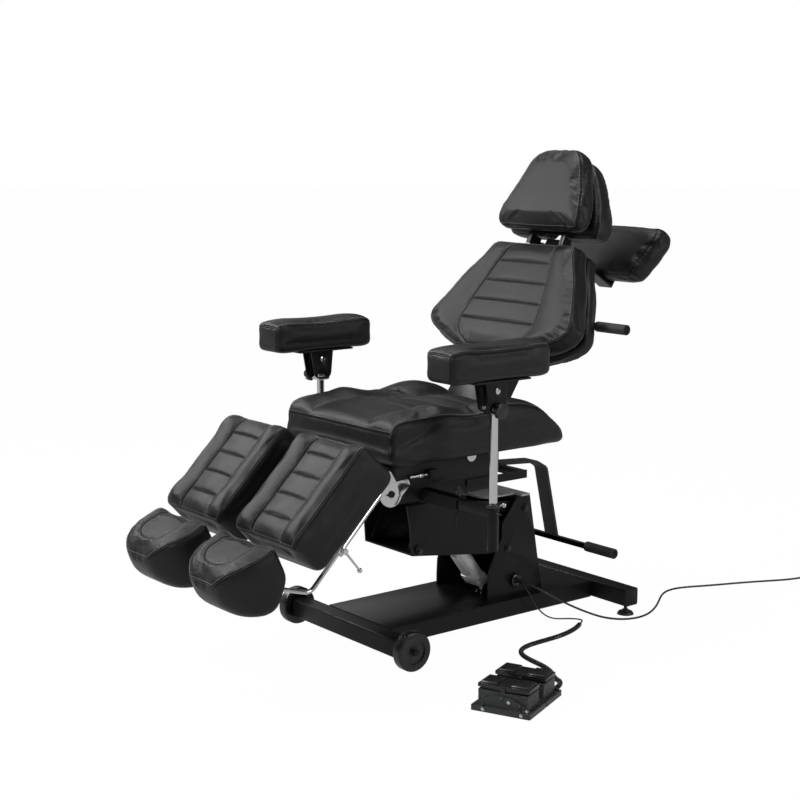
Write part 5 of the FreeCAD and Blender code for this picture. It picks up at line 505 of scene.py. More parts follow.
pedal_points = [Vector(PEDAL_EXIT), Vector((112.4, -160, 141.6))] + [Vector(p) for p in PEDAL_LEAD_ROUTE[1:]]
pedal_points += [axis_points[0] + (axis_points[0] - axis_points[1]).normalized() * 16] + curl_points()
pedal = nurbs("foot_switch_lead", pedal_points, 5.0, resolution=2, bevel=2)
pedal_length, pedal_line = length_of(pedal)
pedal.data.materials.append(sheath)
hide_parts("pedal_lead", "pedal_curl")
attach(pedal, "base")
print("foot switch's lead", round(pedal_length, 3), "m, round a line of", round(axis_length, 3), "m")

# %% Both leads
print("two leads are made")

# %% [markdown]
# ## Where each cushion lies
# A cushion is drawn on its own axes: u runs down its length from the upper end, v across it and w
# out of its face, all in millimetres. Each has rows of shares: place along the length, width, lift
# of the underside, drop of the face and depth of the sunken panel. With a matrix from these axes to
# the chair, a seam can be written down as a cutter would chalk it on the cover.

# %% The cushions' tables
BACK_ORIGIN, BACK_ANGLE = (-40.1, 0, 600.0), 56.8
HEAD_ORIGIN, HEAD_ANGLE = (397.94, 0, 1249.69), 65.8
LEG_ORIGIN, LEG_ANGLE = (-511.1, 0, 550.0), 45.4


def leaning(degrees):
    turn = math.radians(degrees)
    return Vector((math.cos(turn), 0, math.sin(turn))), Vector((-math.sin(turn), 0, math.cos(turn)))


def own_axes(origin, degrees, x, z, y=0.0, lengthwise=-1, up=1):
    ahead, above = leaning(degrees)
    start = Vector(origin) + ahead * x + above * z + Vector((0, y, 0))
    u, w = ahead * lengthwise, above * up
    v = w.cross(u)
    rows = [(u[i], v[i], w[i], start[i]) for i in range(3)]
    return Matrix((*rows, (0, 0, 0, 1000))) * 0.001


leg_ahead, leg_above = leaning(LEG_ANGLE)
FOOT_ORIGIN = Vector(LEG_ORIGIN) - leg_ahead * 374 + leg_above * 281.9
FOOT_ANGLE = LEG_ANGLE - 22.1
print("the foot pad starts at", [round(c, 1) for c in FOOT_ORIGIN], "mm")

# %% Rows of shares along each cushion
SEAT_ROWS = ((0, .96, .17, .33, .04), (.014, .98, .08, .20, .06), (.04, .995, .02, .125, .07), (.153, 1, 0, .08, .09),
             (.333, 1, 0, .075, .11), (.527, 1, 0, .12, .14), (.658, 1, 0, .03, .22), (.741, 1, 0, .065, .20),
             (.848, 1, 0, .22, .13), (.943, .985, 0, .53, .04), (.985, .96, 0, .70, .02), (1, .93, .03, .83, .01))
BACK_ROWS = ((0, .545, .16, .16, .02), (.03, .585, .04, .05, .08), (.10, .62, 0, 0, .14), (.32, .785, 0, 0, .16),
             (.57, .93, 0, 0, .16), (.76, 1, 0, 0, .15), (.84, .93, 0, .01, .13), (.91, .77, 0, .03, .09),
             (.975, .56, .05, .08, .05), (1, .50, .16, .18, .02))
HEAD_ROWS = ((0, .36, .24, .26, 0), (.035, .46, .08, .10, 0), (.12, .60, 0, .02, 0), (.25, .70, 0, 0, 0),
             (.545, .88, 0, 0, 0), (.86, .99, 0, 0, 0), (.965, .97, .06, .08, 0), (1, .91, .22, .26, 0))
HEAD_REAR_ROWS = ((0, .30, .24, .26, 0), (.035, .38, .08, .10, 0), (.12, .50, 0, .02, 0), (.25, .63, 0, 0, 0),
                  (.545, .86, 0, 0, 0), (.86, 1, 0, 0, 0), (.965, .98, .06, .08, 0), (1, .92, .22, .26, 0))
REST_ROWS = ((0, .55, .28, .28, 0), (.04, .72, .10, .10, 0), (.16, .88, 0, 0, 0), (.42, 1, 0, 0, 0),
             (.70, .97, 0, 0, 0), (.88, .84, .02, .02, 0), (.965, .66, .12, .12, 0), (1, .50, .28, .28, 0))
REST_SHAPE = ((0, .78), (.04, .87), (.12, .93), (.22, .95), (.45, .92), (.90, .78), (.97, .73), (1, .64))
ARM_ROWS = ((0, .80, .10, .12, 0), (.02, .93, .03, .04, 0), (.06, .985, 0, 0, 0), (.2, 1, 0, 0, 0),
            (.8, 1, 0, 0, 0), (.94, .985, 0, 0, 0), (.98, .93, .03, .04, 0), (1, .80, .10, .12, 0))
LEG_ROWS = ((0, .90, .12, .11, .02), (.02, .965, .04, .04, .06), (.06, .99, .006, 0, .09), (.25, 1, .025, 0, .10),
            (.50, 1, .05, 0, .10), (.75, 1, .075, 0, .10), (.94, .99, .094, 0, .09), (.98, .965, .13, .04, .06),
            (1, .90, .21, .11, .02))
FOOT_ROWS = ((0, .92, .40, .05, .01), (.03, .97, .34, 0, .03), (.16, 1, .20, 0, .05), (.32, 1, .02, 0, .05),
             (.57, .93, 0, 0, .05), (.77, .79, .09, .02, .04), (.92, .60, .27, .08, .02), (1, .40, .42, .20, .01))


print("the seat has", len(SEAT_ROWS), "rows and the back", len(BACK_ROWS))

# %% The list of cushions
PLAIN_PAD = dict(panel=0.0, channels=(), voxel=0.007, swell=0.007, rims=("top",), piping=True, stitched=True,
                 soften=8, horseshoe=False, corners=(), reshape=None, notch=0.0)
BOTH_RIMS = ("top", "low")
FOOT_CORNERS = ((0, -1), (0, 1))


def pad(body, axes, size, rows, edge, **own):
    length, width, thickness = size
    sizes = dict(body=body, axes=axes, length=length, width=width, thickness=thickness, rows=rows, edge=edge)
    return {**PLAIN_PAD, **sizes, **own}


PADS = {
    "seat_cushion": pad("seat", own_axes((-531.1, 0, 796), 0, 0, 0, lengthwise=1), (723, 590, 166), SEAT_ROWS, 30,
                        panel=0.56, channels=(.26, .38, .50, .62), voxel=0.008, piping=False, corners=FOOT_CORNERS,
                        notch=140),
    "back_cushion_front": pad("back", own_axes(BACK_ORIGIN, BACK_ANGLE, 753.5, 83.2), (418, 712, 78), BACK_ROWS, 20,
                              panel=0.55, channels=(.196, .383, .565, .744), rims=BOTH_RIMS),
    "back_cushion_rear": pad("back", own_axes(BACK_ORIGIN, BACK_ANGLE, 753.5, -52.8, up=-1), (418, 712, 52),
                             BACK_ROWS, 20, voxel=0.008, swell=0.004),
    "headrest_pad_front": pad("headrest", own_axes(HEAD_ORIGIN, HEAD_ANGLE, 314.9, 126.7), (287, 414, 78), HEAD_ROWS,
                              26, rims=BOTH_RIMS, piping=False, soften=30),
    "headrest_pad_rear": pad("headrest", own_axes(HEAD_ORIGIN, HEAD_ANGLE, 303.9, -43.3, up=-1), (276, 446, 88),
                             HEAD_REAR_ROWS, 26, rims=BOTH_RIMS, piping=False, soften=30),
    "rear_rest_pad": pad("back", own_axes(BACK_ORIGIN, BACK_ANGLE, 1009.5, -202.8), (204, 490, 100), REST_ROWS, 34,
                         piping=False, stitched=False, swell=0.004, reshape=REST_SHAPE),
    "arm_pad_left": pad("armrest_left", own_axes((0, 0, 0), 0, -94.1, 1006, -450), (392, 135, 100), ARM_ROWS, 18,
                        voxel=0.006, swell=0.005, corners=FOOT_CORNERS + ((1, -1), (1, 1))),
    "leg_pad_left": pad("leg_left", own_axes(LEG_ORIGIN, LEG_ANGLE, 13.1, 264.4, -203.5), (370, 333, 165), LEG_ROWS,
                        22, panel=0.52, channels=(.19, .39, .59, .79), swell=0.0045),
    "foot_pad_left": pad("foot_left", own_axes(FOOT_ORIGIN, FOOT_ANGLE, 0, 0, -187.5), (197, 306, 182), FOOT_ROWS, 26,
                         panel=0.62, soften=60, swell=0.006, horseshoe=True),
}
print(len(PADS), "cushions are modelled, and three of them are mirrored to the other side")

# %% [markdown]
# ## Swelling the cushions
# A real cushion is foam in a cover that is a little too small, so it swells between its seams. The
# solid is copied, its triangles are welded and remeshed to even squares, a Smooth modifier eases
# the corners that foam can't keep, most on the plump foot and head pads, and a cloth simulation
# with a pressure inside blows the cover up. Its underside is held, as by the board it is stapled
# to. Then every point's travel is capped, so no cushion grows into its neighbour. All the cushions
# are simulated side by side in one run of frames, because Blender works on them at once.


# %% Copy, remesh and swell
def plain_mesh(made):
    return bpy.data.meshes.new_from_object(made.evaluated_get(bpy.context.evaluated_depsgraph_get()))


def apply_modifiers(made):
    mesh = plain_mesh(made)
    made.modifiers.clear()
    made.data = mesh


def add_object(name, mesh):
    made = bpy.data.objects.new(name, mesh)
    bpy.context.collection.objects.link(made)
    return made


def row_at(rows, share):
    share = max(0.0, min(1.0, share))
    for low, high in zip(rows, rows[1:]):
        if share <= high[0]:
            part = (share - low[0]) / (high[0] - low[0])
            return [a + (b - a) * part for a, b in zip(low, high)]


def reshaped(shape, data):
    # The rear rest is a flatter pad than its solid, wide above and narrow below
    axes, inverse = data["axes"], data["axes"].inverted()
    for vertex in shape.verts:
        spot = inverse @ vertex.co
        share = spot.x / data["length"]
        spot.y *= row_at(data["reshape"], share)[1] / row_at(data["rows"], share)[1]
        spot.z = -data["thickness"] + (spot.z + data["thickness"]) * 0.8
        vertex.co = axes @ spot


def even_copy(name, data):
    shape = bmesh.new()
    shape.from_mesh(nodes[name].data)
    bmesh.ops.remove_doubles(shape, verts=shape.verts, dist=SAME_POINT)
    if data["reshape"]:
        reshaped(shape, data)
    mesh = bpy.data.meshes.new(name + "_copy")
    shape.to_mesh(mesh)
    shape.free()
    made = add_object(name + "_copy", mesh)
    remesh = made.modifiers.new("even", "REMESH")
    remesh.mode = "VOXEL"
    remesh.voxel_size = data["voxel"]
    eased = made.modifiers.new("eased", "SMOOTH")
    eased.factor = 0.5
    eased.iterations = data["soften"]
    apply_modifiers(made)
    return made


def held_share(data, inverse, point):
    # 0 on the underside and 1 from a third of the way up; a notch that the back's column fills stays put
    u, v, w = inverse @ point
    share = max(0.0, min(1.0, (w + data["thickness"] * 0.92) / (data["thickness"] * 0.35)))
    if data["notch"] and u > data["length"] * 0.6:
        share *= max(0.0, min(1.0, (abs(v) - data["notch"]) / 25))
    return share


copies = {name: even_copy(name, data) for name, data in PADS.items()}
starts = {name: [v.co.copy() for v in made.data.vertices] for name, made in copies.items()}
print("remeshed copies have", sum(len(spots) for spots in starts.values()), "points")

# %% Blow the covers up
PRESSURE = 4.0
STIFFNESS = 12
FRAMES = 20
for name, made in copies.items():
    inverse = PADS[name]["axes"].inverted()
    held = made.vertex_groups.new(name="held")
    for index, point in enumerate(starts[name]):
        held.add([index], 1.0 - held_share(PADS[name], inverse, point), "REPLACE")
    cloth = made.modifiers.new("cover", "CLOTH").settings
    cloth.use_pressure = True
    cloth.uniform_pressure_force = PRESSURE
    cloth.quality = 4
    cloth.tension_stiffness = STIFFNESS
    cloth.compression_stiffness = STIFFNESS
    cloth.vertex_group_mass = "held"
    cloth.effector_weights.gravity = 0.0
for step in range(1, FRAMES + 1):
    bpy.context.scene.frame_set(step)
for made in copies.values():
    apply_modifiers(made)
bpy.context.scene.frame_set(1)
print("simulated")

# %% Cap the swelling
for name, made in copies.items():
    data = PADS[name]
    inverse = data["axes"].inverted()
    furthest = 0.0
    for vertex, start in zip(made.data.vertices, starts[name]):
        travel = vertex.co - start
        most = data["swell"] * held_share(data, inverse, start)
        if travel.length > most:
            travel = travel.normalized() * most
        vertex.co = start + travel
        furthest = max(furthest, travel.length)
    finer = made.modifiers.new("finer", "SUBSURF")
    finer.levels = finer.render_levels = 1
    apply_modifiers(made)
    print(name, len(made.data.vertices), "points, swollen by up to", round(furthest * 1000, 1), "mm")

# %% [markdown]
# ## Seams and sewn channels
# A seam is a line on the cover: lengthwise beside the panel, across it for a channel, or round the
# rim. Each is drawn on the cushion's flat plan and shot on to the swollen cover by rays, as a
# projector would throw it. Points near a line are then pressed in, deepest on the line, and the
# cover gathers beside it in small puckers, which is what tells leather from plastic. Each point also
# keeps how near it lies to a line, and that darkens the leather there as painted shade in the groove.


# %% Lines thrown on to a cover
HIGH, DOWN = 200, (0, 0, -1)
SPOT_STEP = 4.0


def half_width(data, share):
    return row_at(data["reshape"] or data["rows"], share)[1] * data["width"] / 2


def panel_half(data, share):
    return (half_width(data, share) - data["edge"]) * data["panel"]


def thrown(tree, axes, start, way):
    origin = axes @ Vector(start)
    direction = (axes.to_3x3() @ Vector(way)).normalized()
    place, normal, index, distance = tree.ray_cast(origin, direction)
    return None if place is None else (place, normal)


def line_of(tree, data, starts, way=DOWN):
    hits = [thrown(tree, data["axes"], start, way) for start in starts]
    return [hit for hit in hits if hit]


print("a seam has a point every", SPOT_STEP, "mm")


# %% Panel, channel and corner seams
def panel_line(data, tree, side):
    count = int(data["length"] / SPOT_STEP)
    shares = [0.035 + 0.93 * i / count for i in range(count + 1)]
    return line_of(tree, data, [(share * data["length"], side * panel_half(data, share), HIGH) for share in shares])


def horseshoe_line(data, tree):
    # Down one side, round the toe end and up the other
    half = panel_half(data, 0.3)
    leg = [data["length"] * (0.05 + 0.37 * i / 20) for i in range(20)]
    angles = [math.pi * i / 44 for i in range(45)]
    turn = [(leg[-1] + 4 + half * 0.8 * math.sin(a), -half * math.cos(a)) for a in angles]
    plan = [(u, -half) for u in leg] + turn + [(u, half) for u in reversed(leg)]
    return line_of(tree, data, [(u, v, HIGH) for u, v in plan])


def corner_line(data, tree, end, side):
    # The upright seam where two boxed sides of a cover meet
    row = row_at(data["rows"], end)
    away = 1 if end else -1
    low, high = -(1 - row[2]) * data["thickness"] + 6, -row[3] * data["thickness"] - 4
    u, v = end * data["length"] + away * 80, side * (row[1] * data["width"] / 2 + 80)
    count = max(4, int((high - low) / SPOT_STEP))
    starts = [(u, v, low + (high - low) * i / count) for i in range(count + 1)]
    return line_of(tree, data, starts, (-away, -side, 0))


def channel_line(data, tree, share):
    half = panel_half(data, share)
    count = int(half / 2)
    u = share * data["length"]
    return line_of(tree, data, [(u, half * (2 * i / count - 1), HIGH) for i in range(count + 1)])


print("four kinds of seam have their lines")


# %% Seams round a rim
def rim_line(data, tree, where):
    length, outline = data["length"], []
    shares = [i / 60 for i in range(61)]
    first, last = half_width(data, 0), half_width(data, 1)
    outline += [(0.0, first * (i / 12 - 1)) for i in range(25)]
    outline += [(s * length, half_width(data, s)) for s in shares[1:]]
    outline += [(length, last * (1 - i / 12)) for i in range(1, 25)]
    outline += [(s * length, -half_width(data, s)) for s in reversed(shares[1:-1])]
    spots = [Vector((u, v, 0)) for u, v in outline]
    spaced, carry = [], 0.0
    for a, b in zip(spots, spots[1:] + spots[:1]):
        step = (b - a).length
        while carry < step:
            spaced.append(a.lerp(b, carry / step))
            carry += SPOT_STEP
        carry -= step
    count = len(spaced)
    if data["notch"]:
        gap = [i for i, s in enumerate(spaced) if s.x > length * 0.8 and abs(s.y) < data["notch"]]
        spaced = spaced[gap[-1] + 1:] + spaced[:gap[0]]
        count = len(spaced)
    loop = []
    for i, spot in enumerate(spaced):
        if data["notch"]:
            way = spaced[min(i + 6, count - 1)] - spaced[max(i - 6, 0)]
        else:
            way = spaced[(i + 6) % count] - spaced[i - 6]
        out = Vector((-way.y, way.x, 0)).normalized()
        if out.dot(spot - Vector((length / 2, 0, 0))) < 0:
            out = -out
        row = row_at(data["rows"], spot.x / length)
        if where == "top":
            level, slope = -row[3] * data["thickness"], -1
        else:
            level, slope = -(1 - row[2]) * data["thickness"], 1
        start = spot + out * 60 + Vector((0, 0, level - slope * 60))
        hit = thrown(tree, data["axes"], start, -out + Vector((0, 0, slope)))
        if hit:
            loop.append(hit)
    return loop


def seam_lines(data, tree):
    lines = []
    if data["horseshoe"]:
        lines.append(("panel", horseshoe_line(data, tree)))
    elif data["panel"]:
        lines += [("panel", panel_line(data, tree, side)) for side in (-1, 1)]
        lines += [("channel", channel_line(data, tree, share)) for share in data["channels"]]
    lines += [("corner", corner_line(data, tree, end, side)) for end, side in data["corners"]]
    lines += [("rim", rim_line(data, tree, where)) for where in data["rims"]]
    return lines


print(sum(len(data["rims"]) for data in PADS.values()), "rims get a seam")

# %% Press the lines into the covers
# Depth and width of each kind's groove, and the height of the puckers beside it, in metres
DEPTHS = {"panel": (0.0036, 0.0045), "channel": (0.0038, 0.0042), "rim": (0.0018, 0.0036), "corner": (0.0014, 0.0036)}
GATHER = {"panel": 0.0006, "channel": 0.00035, "rim": 0.0004, "corner": 0.0}


def press_in(made, lines):
    spots = [(place, kind, step) for kind, line in lines for step, (place, normal) in enumerate(line)]
    near = KDTree(len(spots))
    for index, spot in enumerate(spots):
        near.insert(spot[0], index)
    near.balance()
    mesh = made.data
    normals = [v.normal.copy() for v in mesh.vertices]
    # The seam attribute is a mask for painted shade: near 1 on a line and fading within about two millimetres
    dark = mesh.attributes.new("seam", "FLOAT", "POINT")
    for vertex, normal in zip(mesh.vertices, normals):
        place, index, away = near.find(vertex.co)
        if away > 0.03:
            continue
        kind, step = spots[index][1:]
        depth, width = DEPTHS[kind]
        press = depth * math.exp(-(away / width) ** 2)
        ripple = math.sin(step * 1.7) + 0.6 * math.sin(step * 0.63 + 1)
        gather = GATHER[kind] * math.exp(-((away - 0.008) / 0.007) ** 2) * ripple
        vertex.co -= normal * (press + gather)
        dark.data[vertex.index].value = math.exp(-(away / (width * 0.42)) ** 2)
    for polygon in mesh.polygons:
        polygon.use_smooth = True


all_lines = {}
for name, made in copies.items():
    tree = BVHTree.FromObject(made, bpy.context.evaluated_depsgraph_get())
    all_lines[name] = seam_lines(PADS[name], tree)
    press_in(made, all_lines[name])
    print(name, "has", len(all_lines[name]), "seams,", sum(len(line) for kind, line in all_lines[name]), "points")


def mirrored_mesh(mesh, name):
    twin = mesh.copy()
    twin.name = name
    for vertex in twin.vertices:
        vertex.co.y = -vertex.co.y
    twin.flip_normals()
    return twin


covers = {}
for name, made in copies.items():
    made.name = name + "_cover"
    made.data.materials.clear()
    made.data.materials.append(leather)
    covers[name] = made
    if name.endswith("_left"):
        twin_name = name.replace("_left", "_right")
        covers[twin_name] = add_object(twin_name + "_cover", mirrored_mesh(made.data, twin_name + "_cover"))
for name, cover in covers.items():
    body = PADS[name.replace("_right", "_left")]["body"]
    if name.endswith("_right"):
        body = body.replace("_left", "_right")
    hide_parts(name)
    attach(cover, body)
print(len(covers), "covers")

# %% [markdown]
# ## Stitches and piping
# Thread and welt follow the same lines. Hundreds of stitches are the work of one small Geometry
# Nodes tree: it walks along each line in equal steps, puts a short rod on every step and turns it
# along the line. A second tree sweeps a circle along the rims for the welt, and a thin near-black
# circle along every groove that has no welt, as painted shadow. Both end as plain meshes, one for
# each body that the lines ride on.


# %% The two trees
def open_tree(name, values):
    tree = bpy.data.node_groups.new(name, "GeometryNodeTree")
    tree.interface.new_socket("Geometry", in_out="INPUT", socket_type="NodeSocketGeometry")
    for label, kind in values.items():
        tree.interface.new_socket(label, in_out="INPUT", socket_type="NodeSocket" + kind)
    tree.interface.new_socket("Geometry", in_out="OUTPUT", socket_type="NodeSocketGeometry")
    w = Wire(tree)
    entry = tree.nodes.new("NodeGroupInput")
    return tree, w, {label: Wire(tree, entry.outputs[label]) for label in ["Geometry", *values]}


def close_tree(w, shape, finish_input):
    plain = w.node("GeometryNodeRealizeInstances", {}, {"Geometry": shape})
    coloured = w.node("GeometryNodeSetMaterial", {}, {"Geometry": plain, "Material": finish_input})
    w.node("NodeGroupOutput", {}, {0: coloured})


def stitch_tree():
    tree, w, given = open_tree("stitches", {"Spacing": "Float", "Length": "Float", "Thickness": "Float",
                                            "Finish": "Material"})
    line = w.node("GeometryNodeMeshToCurve", {}, {"Mesh": given["Geometry"]})
    steps = w.node("GeometryNodeResampleCurve", {"mode": "LENGTH"}, {"Curve": line, "Length": given["Spacing"]})
    rod = w.node("GeometryNodeMeshCylinder", {}, {"Vertices": 6, "Radius": given["Thickness"] * 0.5,
                                                  "Depth": given["Length"]})
    turn = w.node("FunctionNodeAlignRotationToVector", {"axis": "Z"}, {"Vector": w.node("GeometryNodeInputTangent")})
    row = w.node("GeometryNodeInstanceOnPoints", {}, {"Points": steps, "Instance": rod, "Rotation": turn})
    close_tree(w, row, given["Finish"])
    return tree


def welt_tree():
    tree, w, given = open_tree("welt", {"Thickness": "Float", "Finish": "Material"})
    line = w.node("GeometryNodeMeshToCurve", {}, {"Mesh": given["Geometry"]})
    ring = w.node("GeometryNodeCurvePrimitiveCircle", {}, {"Resolution": 8, "Radius": given["Thickness"] * 0.5})
    tube = w.node("GeometryNodeCurveToMesh", {}, {"Curve": line, "Profile Curve": ring, "Fill Caps": True})
    round_tube = w.node("GeometryNodeSetShadeSmooth", {}, {"Geometry": tube, "Shade Smooth": True})
    close_tree(w, round_tube, given["Finish"])
    return tree


stitches = stitch_tree()
welt = welt_tree()
print("trees", stitches.name, "and", welt.name)


# %% Lines through a tree
def line_mesh(name, lines):
    shape = bmesh.new()
    for closed, points in lines:
        spots = [shape.verts.new(p) for p in points]
        for a, b in zip(spots, spots[1:]):
            shape.edges.new((a, b))
        if closed and len(spots) > 2:
            shape.edges.new((spots[-1], spots[0]))
    mesh = bpy.data.meshes.new(name)
    shape.to_mesh(mesh)
    shape.free()
    return mesh


def through_tree(name, lines, tree, values):
    made = add_object(name, line_mesh(name + "_line", lines))
    modifier = made.modifiers.new("nodes", "NODES")
    modifier.node_group = tree
    for item in tree.interface.items_tree:
        if item.in_out == "INPUT" and item.name in values:
            modifier[item.identifier] = values[item.name]
    apply_modifiers(made)
    return made


print("a line becomes stitches or a welt")


# %% Where the thread runs
def beside(tree, line, closed, offset, lift):
    points = []
    count = len(line)
    for i, (place, normal) in enumerate(line):
        ahead = line[(i + 2) % count][0] if closed else line[min(i + 2, count - 1)][0]
        behind = line[i - 2][0] if closed else line[max(i - 2, 0)][0]
        side = (ahead - behind).cross(normal).normalized()
        spot, facing, index, away = tree.find_nearest(place + side * offset)
        points.append(spot + facing * lift)
    return points


SEWN = {"panel": (-0.0055, 0.0055), "channel": (), "rim": (0.0075,), "corner": ()}
sewn, welted, painted_shadow_lines = {}, {}, {}
for name, lines in all_lines.items():
    data = PADS[name]
    cover = covers[name]
    tree = BVHTree.FromObject(cover, bpy.context.evaluated_depsgraph_get())
    for kind, line in lines:
        closed = kind == "rim" and not data["notch"]
        offsets = SEWN[kind] if data["stitched"] else ()
        rows = [(closed, beside(tree, line, closed, offset, 0.0003)) for offset in offsets]
        ropes = [(closed, beside(tree, line, closed, 0.0, 0.0008))] if closed and data["piping"] else []
        # Where no welt covers a seam, a thin near-black tube is laid in its groove as painted shadow
        valley = [] if ropes else [(closed, beside(tree, line, closed, 0.0, 0.0001))]
        for store, made_lines in ((sewn, rows), (welted, ropes), (painted_shadow_lines, valley)):
            store.setdefault(data["body"], []).extend(made_lines)
            if name.endswith("_left"):
                twins = [(c, [Vector((p.x, -p.y, p.z)) for p in points]) for c, points in made_lines]
                store.setdefault(data["body"].replace("_left", "_right"), []).extend(twins)
print("stitched bodies", len(sewn))

# %% Sew
SEWING = (
    ("stitches_", sewn, stitches, {"Spacing": 0.0058, "Length": 0.0042, "Thickness": 0.0012, "Finish": thread}),
    ("welt_", welted, welt, {"Thickness": 0.0042, "Finish": leather}),
    ("seam_", painted_shadow_lines, welt, {"Thickness": 0.0019, "Finish": valley_shadow_paint}),
)
for prefix, store, tree, values in SEWING:
    for body, lines in store.items():
        if lines:
            row = through_tree(prefix + body, lines, tree, values)
            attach(row, body)
            print(row.name, len(row.data.polygons), "faces")

# %% [markdown]
# ## Turned fittings
# Rings, washers and collars are all one shape drawn beside an axis and turned round it, so one
# function makes them: a list of radius and height becomes rings of points with faces between. The
# grommet gets its broad lip, and each armrest's post a clamp ring with a small screw.


# %% Turned and swept shapes
def rings_mesh(name, rings, material):
    shape = bmesh.new()
    rows = [[shape.verts.new(spot) for spot in ring] for ring in rings]
    count = len(rows[0])
    for low, high in zip(rows, rows[1:]):
        for i in range(count):
            shape.faces.new((low[i], low[(i + 1) % count], high[(i + 1) % count], high[i]))
    shape.faces.new(list(reversed(rows[0])))
    shape.faces.new(rows[-1])
    bmesh.ops.recalc_face_normals(shape, faces=shape.faces)
    mesh = bpy.data.meshes.new(name)
    shape.to_mesh(mesh)
    shape.free()
    mesh.materials.append(material)
    made = add_object(name, mesh)
    made.modifiers.new("shading", "NODES").node_group = shade_by_angle
    apply_modifiers(made)
    return made


def turned(name, profile, place, way, material, sides=36):
    turn = Vector(way).to_track_quat("Z", "Y").to_matrix()
    angles = [math.tau * i / sides for i in range(sides)]
    rings = [[Vector(place) + turn @ Vector((radius * math.cos(a), radius * math.sin(a), height)) for a in angles]
             for radius, height in profile]
    return rings_mesh(name, rings, material)


def sleeve(name, line, profile, material, sides=24):
    # A profile of radius and distance, carried along a spline's own points
    rings = []
    angles = [math.tau * i / sides for i in range(sides)]
    for radius, distance in profile:
        middle, way = along(line, distance)
        side = way.cross(Vector((0, 0, 1))).normalized()
        up = side.cross(way).normalized()
        rings.append([middle + (side * math.cos(a) + up * math.sin(a)) * radius for a in angles])
    return rings_mesh(name, rings, material)


print("fittings are turned on an axis or swept along a lead")

# %% Grommet's lip
LIP_PROFILE = ((0.0100, 0), (0.0205, 0), (0.0215, 0.0012), (0.0210, 0.0036), (0.0180, 0.0056), (0.0150, 0.0060),
               (0.0125, 0.0050), (0.0100, 0.0030))
LIP_PLACE = (0.1124, -0.1398, 0.1456)
lip = turned("grommet_lip", LIP_PROFILE, LIP_PLACE, (0, -1, 0), glossy)
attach(lip, "base")
print("lip", len(lip.data.polygons), "faces")

# %% The leads' strain reliefs
RELIEF_LENGTH = 0.034
RELIEF_RIBS = 6
RIB_STEPS = ((0, 0.08), (0, 0.62), (0.0009, 0.70), (0.0009, 0.98))


def relief_profile(start, end):
    profile = [(start * 0.9, 0.0)]
    for i in range(RELIEF_RIBS):
        share = i / RELIEF_RIBS
        radius = start + (end - start) * share
        profile += [(radius - inward, RELIEF_LENGTH * (share + part / RELIEF_RIBS)) for inward, part in RIB_STEPS]
    return profile + [(end, RELIEF_LENGTH * 0.995), (end * 0.9, RELIEF_LENGTH)]


for name, line, start, end in (("mains", mains_line, 0.0062, 0.0042), ("pedal", pedal_line, 0.0048, 0.0030)):
    guard = sleeve(name + "_relief", line, relief_profile(start, end), rubber)
    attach(guard, "base")
print("two strain reliefs of", RELIEF_LENGTH, "m")

# %% Clamp rings on the armrests' posts
SIDES = (("left", 1), ("right", -1))
POST_RADIUS = 0.013
RING_PROFILE = ((0.0003, 0), (0.0075, 0), (0.0082, 0.001), (0.0082, 0.009), (0.0075, 0.010), (0.0003, 0.010))
SCREW_PROFILE = ((0.0028, 0), (0.0028, 0.010), (0.0062, 0.0105), (0.0068, 0.012), (0.0068, 0.019), (0.0062, 0.0205),
                 (0.0020, 0.021))
for side, sign in SIDES:
    low, high = (Vector(corner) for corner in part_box("arm_post_" + side))
    middle = (low + high) / 2
    middle.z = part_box("arm_beam_" + side)[1][2]
    ring = turned("post_ring_" + side, [(POST_RADIUS + wider, height) for wider, height in RING_PROFILE], middle,
                  (0, 0, 1), black_steel)
    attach(ring, "arm_beam_" + side)
    way = Vector((0.92, -0.39 * sign, 0))
    screw = turned("post_screw_" + side, SCREW_PROFILE, middle + Vector((0, 0, 0.005)) + way * (POST_RADIUS + 0.006),
                   way, bright_steel)
    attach(screw, "arm_beam_" + side)
print("two clamp rings with screws, round posts of", POST_RADIUS * 2, "m")

# %% [markdown]
# ## Bolts and treads
# The lift's pins end in hexagon bolts and the foot switch is shut by small round screws. They are
# the same thing at different places, so one Geometry Nodes tree puts a washer and a head on every
# point it is given and turns them to face one way. The grip ribs on the two rockers are lines laid
# across the treads, which the welt's tree makes round.


# %% The bolt tree
def bolt_tree():
    sockets = {"Radius": "Float", "Height": "Float", "Sides": "Int", "Facing": "Vector", "Finish": "Material"}
    tree, w, given = open_tree("bolts", sockets)
    washer = w.node("GeometryNodeMeshCylinder", {}, {"Vertices": 24, "Radius": given["Radius"] * 1.35,
                                                     "Depth": given["Height"] * 0.5})
    head = w.node("GeometryNodeMeshCylinder", {}, {"Vertices": given["Sides"], "Radius": given["Radius"],
                                                   "Depth": given["Height"]})
    lift = w.node("ShaderNodeCombineXYZ", {}, {"Z": given["Height"] * 0.6})
    raised = w.node("GeometryNodeTransform", {}, {"Geometry": head, "Translation": lift})
    both = w.tree.nodes.new("GeometryNodeJoinGeometry")
    for part in (washer, raised):
        w.tree.links.new(part.socket, both.inputs[0])
    turn = w.node("FunctionNodeAlignRotationToVector", {"axis": "Z"}, {"Vector": given["Facing"]})
    points = w.node("GeometryNodeMeshToPoints", {}, {"Mesh": given["Geometry"]})
    fitting = Wire(w.tree, both.outputs[0])
    row = w.node("GeometryNodeInstanceOnPoints", {}, {"Points": points, "Instance": fitting, "Rotation": turn})
    close_tree(w, row, given["Finish"])
    return tree


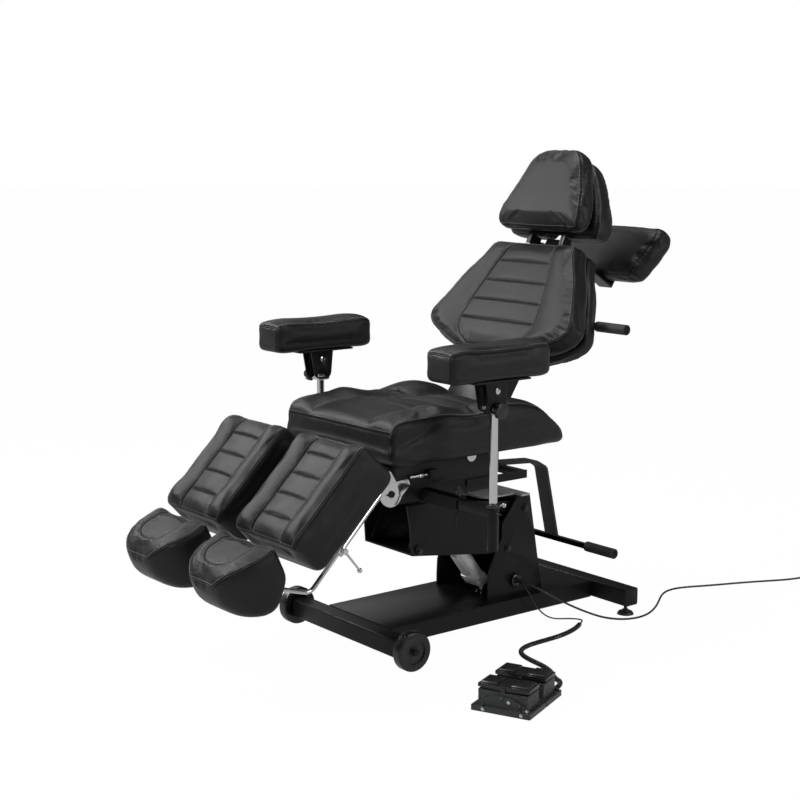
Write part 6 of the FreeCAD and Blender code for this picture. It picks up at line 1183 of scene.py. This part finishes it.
bolts = bolt_tree()
BOLTS = (
    ("pedestal_bolts", "base", ((0.076, -0.1400, 0.262), (0.152, -0.1400, 0.389))),
    ("carrier_bolts", "carrier", ((-0.2955, -0.1303, 0.3085),)),
)
for name, body, places in BOLTS:
    for end, sign in SIDES:
        spots = [(False, [Vector((x, y * sign, z))]) for x, y, z in places]
        made = through_tree(name + "_" + end, spots, bolts, {"Radius": 0.0085, "Height": 0.0055, "Sides": 6,
                                                             "Facing": (0, -sign, 0), "Finish": black_steel})
        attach(made, body)
        print(made.name, len(made.data.polygons), "faces")

# %% Screws on the foot switch
SCREWS = ((-0.5329, -0.7100, 0.0088), (-0.4932, -0.7755, 0.0377), (-0.4851, -0.8189, 0.0094),
          (-0.4704, -0.8275, 0.0200))
facing = Vector((-0.92, -0.40, 0)).normalized()
made = through_tree("pedal_screws", [(False, [Vector(spot)]) for spot in SCREWS], bolts,
                    {"Radius": 0.0040, "Height": 0.0030, "Sides": 16, "Facing": facing, "Finish": bright_steel})
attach(made, "base")
print(len(SCREWS), "screws on the foot switch")

# %% Grip ribs on the rockers
RIB_PLACES = (-0.066, -0.059, -0.052, -0.045, 0.045, 0.052, 0.059, 0.066)
RIB_LENGTH = 0.048
RIB_POINTS = 12
lengthwise, across = Vector((-0.402, 0.916, 0)), Vector((0.916, 0.402, 0))
for end in ("front", "rear"):
    mesh = nodes["pedal_rocker_" + end].data
    tree = BVHTree.FromPolygons([v.co.copy() for v in mesh.vertices], [tuple(p.vertices) for p in mesh.polygons])
    low, high = (Vector(corner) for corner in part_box("pedal_rocker_" + end))
    middle = (low + high) / 2
    ribs = []
    for distance in RIB_PLACES:
        rib = []
        for i in range(RIB_POINTS + 1):
            aside = RIB_LENGTH * (i / RIB_POINTS - 0.5)
            start = middle + lengthwise * distance + across * aside + Vector((0, 0, 0.1))
            place, normal, index, away = tree.ray_cast(start, Vector((0, 0, -1)))
            if place:
                rib.append(place)
        ribs.append((False, rib))
    grips = through_tree("rocker_ribs_" + end, ribs, welt, {"Thickness": 0.0036, "Finish": tread})
    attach(grips, "rocker_" + end)
    print("ribs on", end, [len(points) for closed, points in ribs])

# %% Half plate under the seat's edge
PLATE_RADIUS = 0.019
PLATE_X, PLATE_Z = -0.1867, 0.6285
PLATE_LEVELS = (0.2495, 0.2535, 0.2540)
angles = [math.pi * (1 + i / 24) for i in range(25)]
arc = [(PLATE_X + PLATE_RADIUS * math.cos(a), PLATE_Z + PLATE_RADIUS * math.sin(a)) for a in angles]
for side, sign in SIDES:
    rings = [[Vector((x, -y * sign, z)) for x, z in arc] for y in PLATE_LEVELS]
    plate = rings_mesh("half_plate_" + side, rings, bright_steel)
    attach(plate, "seat")
print("half plates of", PLATE_RADIUS * 2, "m under the seat")
